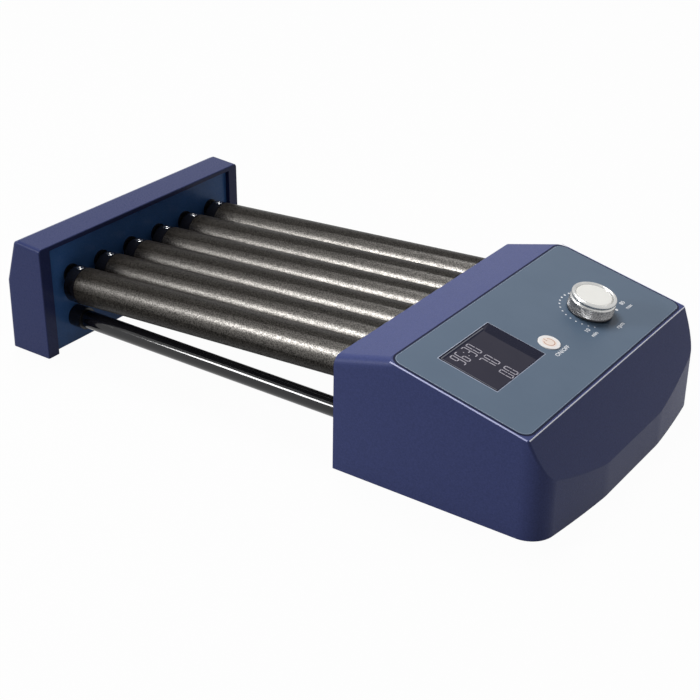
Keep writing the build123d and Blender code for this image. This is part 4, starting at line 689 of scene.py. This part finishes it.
# Power sign on the button: an open ring with a short bar in its gap
ring = bmesh.new()
start = pi / 2 + RING_OPENING / 2
sweep = 2 * pi - RING_OPENING
inner = RING_RADIUS - RING_WIDTH / 2
outer = RING_RADIUS + RING_WIDTH / 2
for k in range(RING_STEPS):
    a0 = start + sweep * k / RING_STEPS
    a1 = start + sweep * (k + 1) / RING_STEPS
    corners = ((inner, a0), (outer, a0), (outer, a1), (inner, a1))
    add_plate(ring, [(reach * cos(angle), reach * sin(angle)) for reach, angle in corners])
half = RING_WIDTH / 2
low, high = RING_BAR
add_plate(ring, [(-half, low), (half, low), (half, high), (-half, high)])
add_piece("power_sign", ring, panel_matrix(*BUTTON_AT, BUTTON_TOP), ink_orange, "button")
# Painted glow: a warm disc round the power sign
halo = bmesh.new()
add_plate(halo, disc_points(HALO_RADIUS, 48), INK_HEIGHT / 3)
add_piece("power_halo", halo, panel_matrix(*BUTTON_AT, BUTTON_TOP), painted_button_glow, "button")

# Dots of the speed dial, growing towards the fast end
dots = bmesh.new()
for k in range(DIAL_DOTS):
    share = k / (DIAL_DOTS - 1)
    angle = -DIAL_SPAN / 2 + DIAL_SPAN * share
    radius = DIAL_DOT_RADII[0] + (DIAL_DOT_RADII[1] - DIAL_DOT_RADII[0]) * share
    add_plate(dots, disc_points(radius, 20, (DIAL_RADIUS * sin(angle), DIAL_RADIUS * cos(angle))))
add_piece("dial_dots", dots, panel_matrix(*KNOB_AT, OVERLAY_TOP), ink_white, "frame")


def lettering(name, text, y, s, size, wide):
    """Raised print on the panel, centred on a place."""
    curve = bpy.data.curves.new(name, "FONT")
    curve.body = text
    curve.size = size
    curve.align_x = "CENTER"
    curve.align_y = "CENTER"
    curve.extrude = INK_HEIGHT / 2
    curve.offset = size * LETTER_WEIGHT
    holder = bpy.data.objects.new(name + "_curve", curve)
    bpy.context.scene.collection.objects.link(holder)
    bpy.context.view_layer.update()
    mesh = bpy.data.meshes.new_from_object(holder)
    bpy.data.objects.remove(holder)
    mesh.transform(panel_matrix(y, s, OVERLAY_TOP + INK_HEIGHT / 2) @ Matrix.Scale(wide, 4, (1, 0, 0)))
    mesh.materials.clear()
    mesh.materials.append(ink_white)
    piece = bpy.data.objects.new(name, mesh)
    bpy.context.scene.collection.objects.link(piece)
    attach(piece, "frame")


for name, text, y, s, size, wide in WORDS:
    lettering(name, text, y * MM, s * MM, size * MM, wide)

# Stage: floor, lights and world
floor_mesh = bpy.data.meshes.new("floor")
floor_corners = [(x * FLOOR_HALF, y * FLOOR_HALF, 0) for x, y in ((-1, -1), (1, -1), (1, 1), (-1, 1))]
floor_mesh.from_pydata(floor_corners, [], [(0, 1, 2, 3)])
floor = bpy.data.objects.new("floor", floor_mesh)
bpy.context.scene.collection.objects.link(floor)
floor_material, tree, shader = new_material("pale_floor")
shader.inputs["Base Color"].default_value = FLOOR_COLOR
shader.inputs["Roughness"].default_value = FLOOR_ROUGHNESS
glow = tree.nodes.new("ShaderNodeEmission")
glow.inputs["Color"].default_value = WHITE
glow.inputs["Strength"].default_value = 1.0
path = tree.nodes.new("ShaderNodeLightPath")
reflected = tree.nodes.new("ShaderNodeMath")
reflected.operation = "MAXIMUM"
tree.links.new(path.outputs["Is Glossy Ray"], reflected.inputs[0])
tree.links.new(path.outputs["Is Transmission Ray"], reflected.inputs[1])
reflected_share = tree.nodes.new("ShaderNodeMath")
reflected_share.operation = "MULTIPLY"
reflected_share.inputs[1].default_value = FLOOR_REFLECTED
tree.links.new(reflected.outputs[0], reflected_share.inputs[0])
seen = tree.nodes.new("ShaderNodeMath")
seen.operation = "MULTIPLY_ADD"
seen.inputs[1].default_value = FLOOR_SEEN
tree.links.new(reflected_share.outputs[0], seen.inputs[2])
mixer = tree.nodes.new("ShaderNodeMixShader")
tree.links.new(path.outputs["Is Camera Ray"], seen.inputs[0])
tree.links.new(seen.outputs[0], mixer.inputs["Fac"])
tree.links.new(shader.outputs["BSDF"], mixer.inputs[1])
tree.links.new(glow.outputs["Emission"], mixer.inputs[2])
tree.links.new(mixer.outputs["Shader"], tree.nodes["Material Output"].inputs["Surface"])
floor_mesh.materials.append(floor_material)

world = bpy.data.worlds.new("studio")
bpy.context.scene.world = world
world.use_nodes = True
tree = world.node_tree
background = tree.nodes["Background"]
path = tree.nodes.new("ShaderNodeLightPath")
camera_or_glossy = tree.nodes.new("ShaderNodeMath")
camera_or_glossy.operation = "MAXIMUM"
any_seen = tree.nodes.new("ShaderNodeMath")
any_seen.operation = "MAXIMUM"
tree.links.new(path.outputs["Is Camera Ray"], camera_or_glossy.inputs[0])
tree.links.new(path.outputs["Is Glossy Ray"], camera_or_glossy.inputs[1])
tree.links.new(camera_or_glossy.outputs[0], any_seen.inputs[0])
tree.links.new(path.outputs["Is Transmission Ray"], any_seen.inputs[1])
level = tree.nodes.new("ShaderNodeMapRange")
level.inputs["To Min"].default_value = WORLD_LIGHT
level.inputs["To Max"].default_value = WORLD_SEEN
tree.links.new(any_seen.outputs[0], level.inputs["Value"])
tree.links.new(level.outputs["Result"], background.inputs["Strength"])
background.inputs["Color"].default_value = WHITE


def softbox(name, place, target, size, power):
    """A rectangular area lamp that looks at a target."""
    light = bpy.data.lights.new(name, "AREA")
    light.shape = "RECTANGLE"
    light.size, light.size_y = size
    light.energy = power
    lamp = bpy.data.objects.new(name, light)
    lamp.location = place
    lamp.rotation_euler = (Vector(target) - Vector(place)).to_track_quat("-Z", "Y").to_euler()
    bpy.context.scene.collection.objects.link(lamp)


for lamp_values in LAMPS:
    softbox(*lamp_values)

camera_data = bpy.data.cameras.new("camera")
camera_data.sensor_width = SENSOR_WIDTH
camera_data.lens = FOCAL_PIXELS / IMAGE_SIZE * SENSOR_WIDTH
camera_data.shift_x = (IMAGE_SIZE / 2 - PRINCIPAL_POINT[0]) / IMAGE_SIZE
camera_data.shift_y = (PRINCIPAL_POINT[1] - IMAGE_SIZE / 2) / IMAGE_SIZE
camera = bpy.data.objects.new("camera", camera_data)
forward = Vector((
    -sin(CAMERA_AZIMUTH) * cos(CAMERA_PITCH), cos(CAMERA_AZIMUTH) * cos(CAMERA_PITCH), -sin(CAMERA_PITCH)
))
right = Vector((cos(CAMERA_AZIMUTH), sin(CAMERA_AZIMUTH), 0))
down = forward.cross(right)
rolled_right = right * cos(CAMERA_ROLL) - down * sin(CAMERA_ROLL)
rolled_down = right * sin(CAMERA_ROLL) + down * cos(CAMERA_ROLL)
camera.matrix_world = Matrix.Translation(CAMERA_PLACE) @ Matrix(
    (rolled_right, -rolled_down, -forward)
).transposed().to_4x4()
bpy.context.scene.collection.objects.link(camera)
bpy.context.scene.camera = camera
bpy.context.scene.view_settings.view_transform = "Standard"
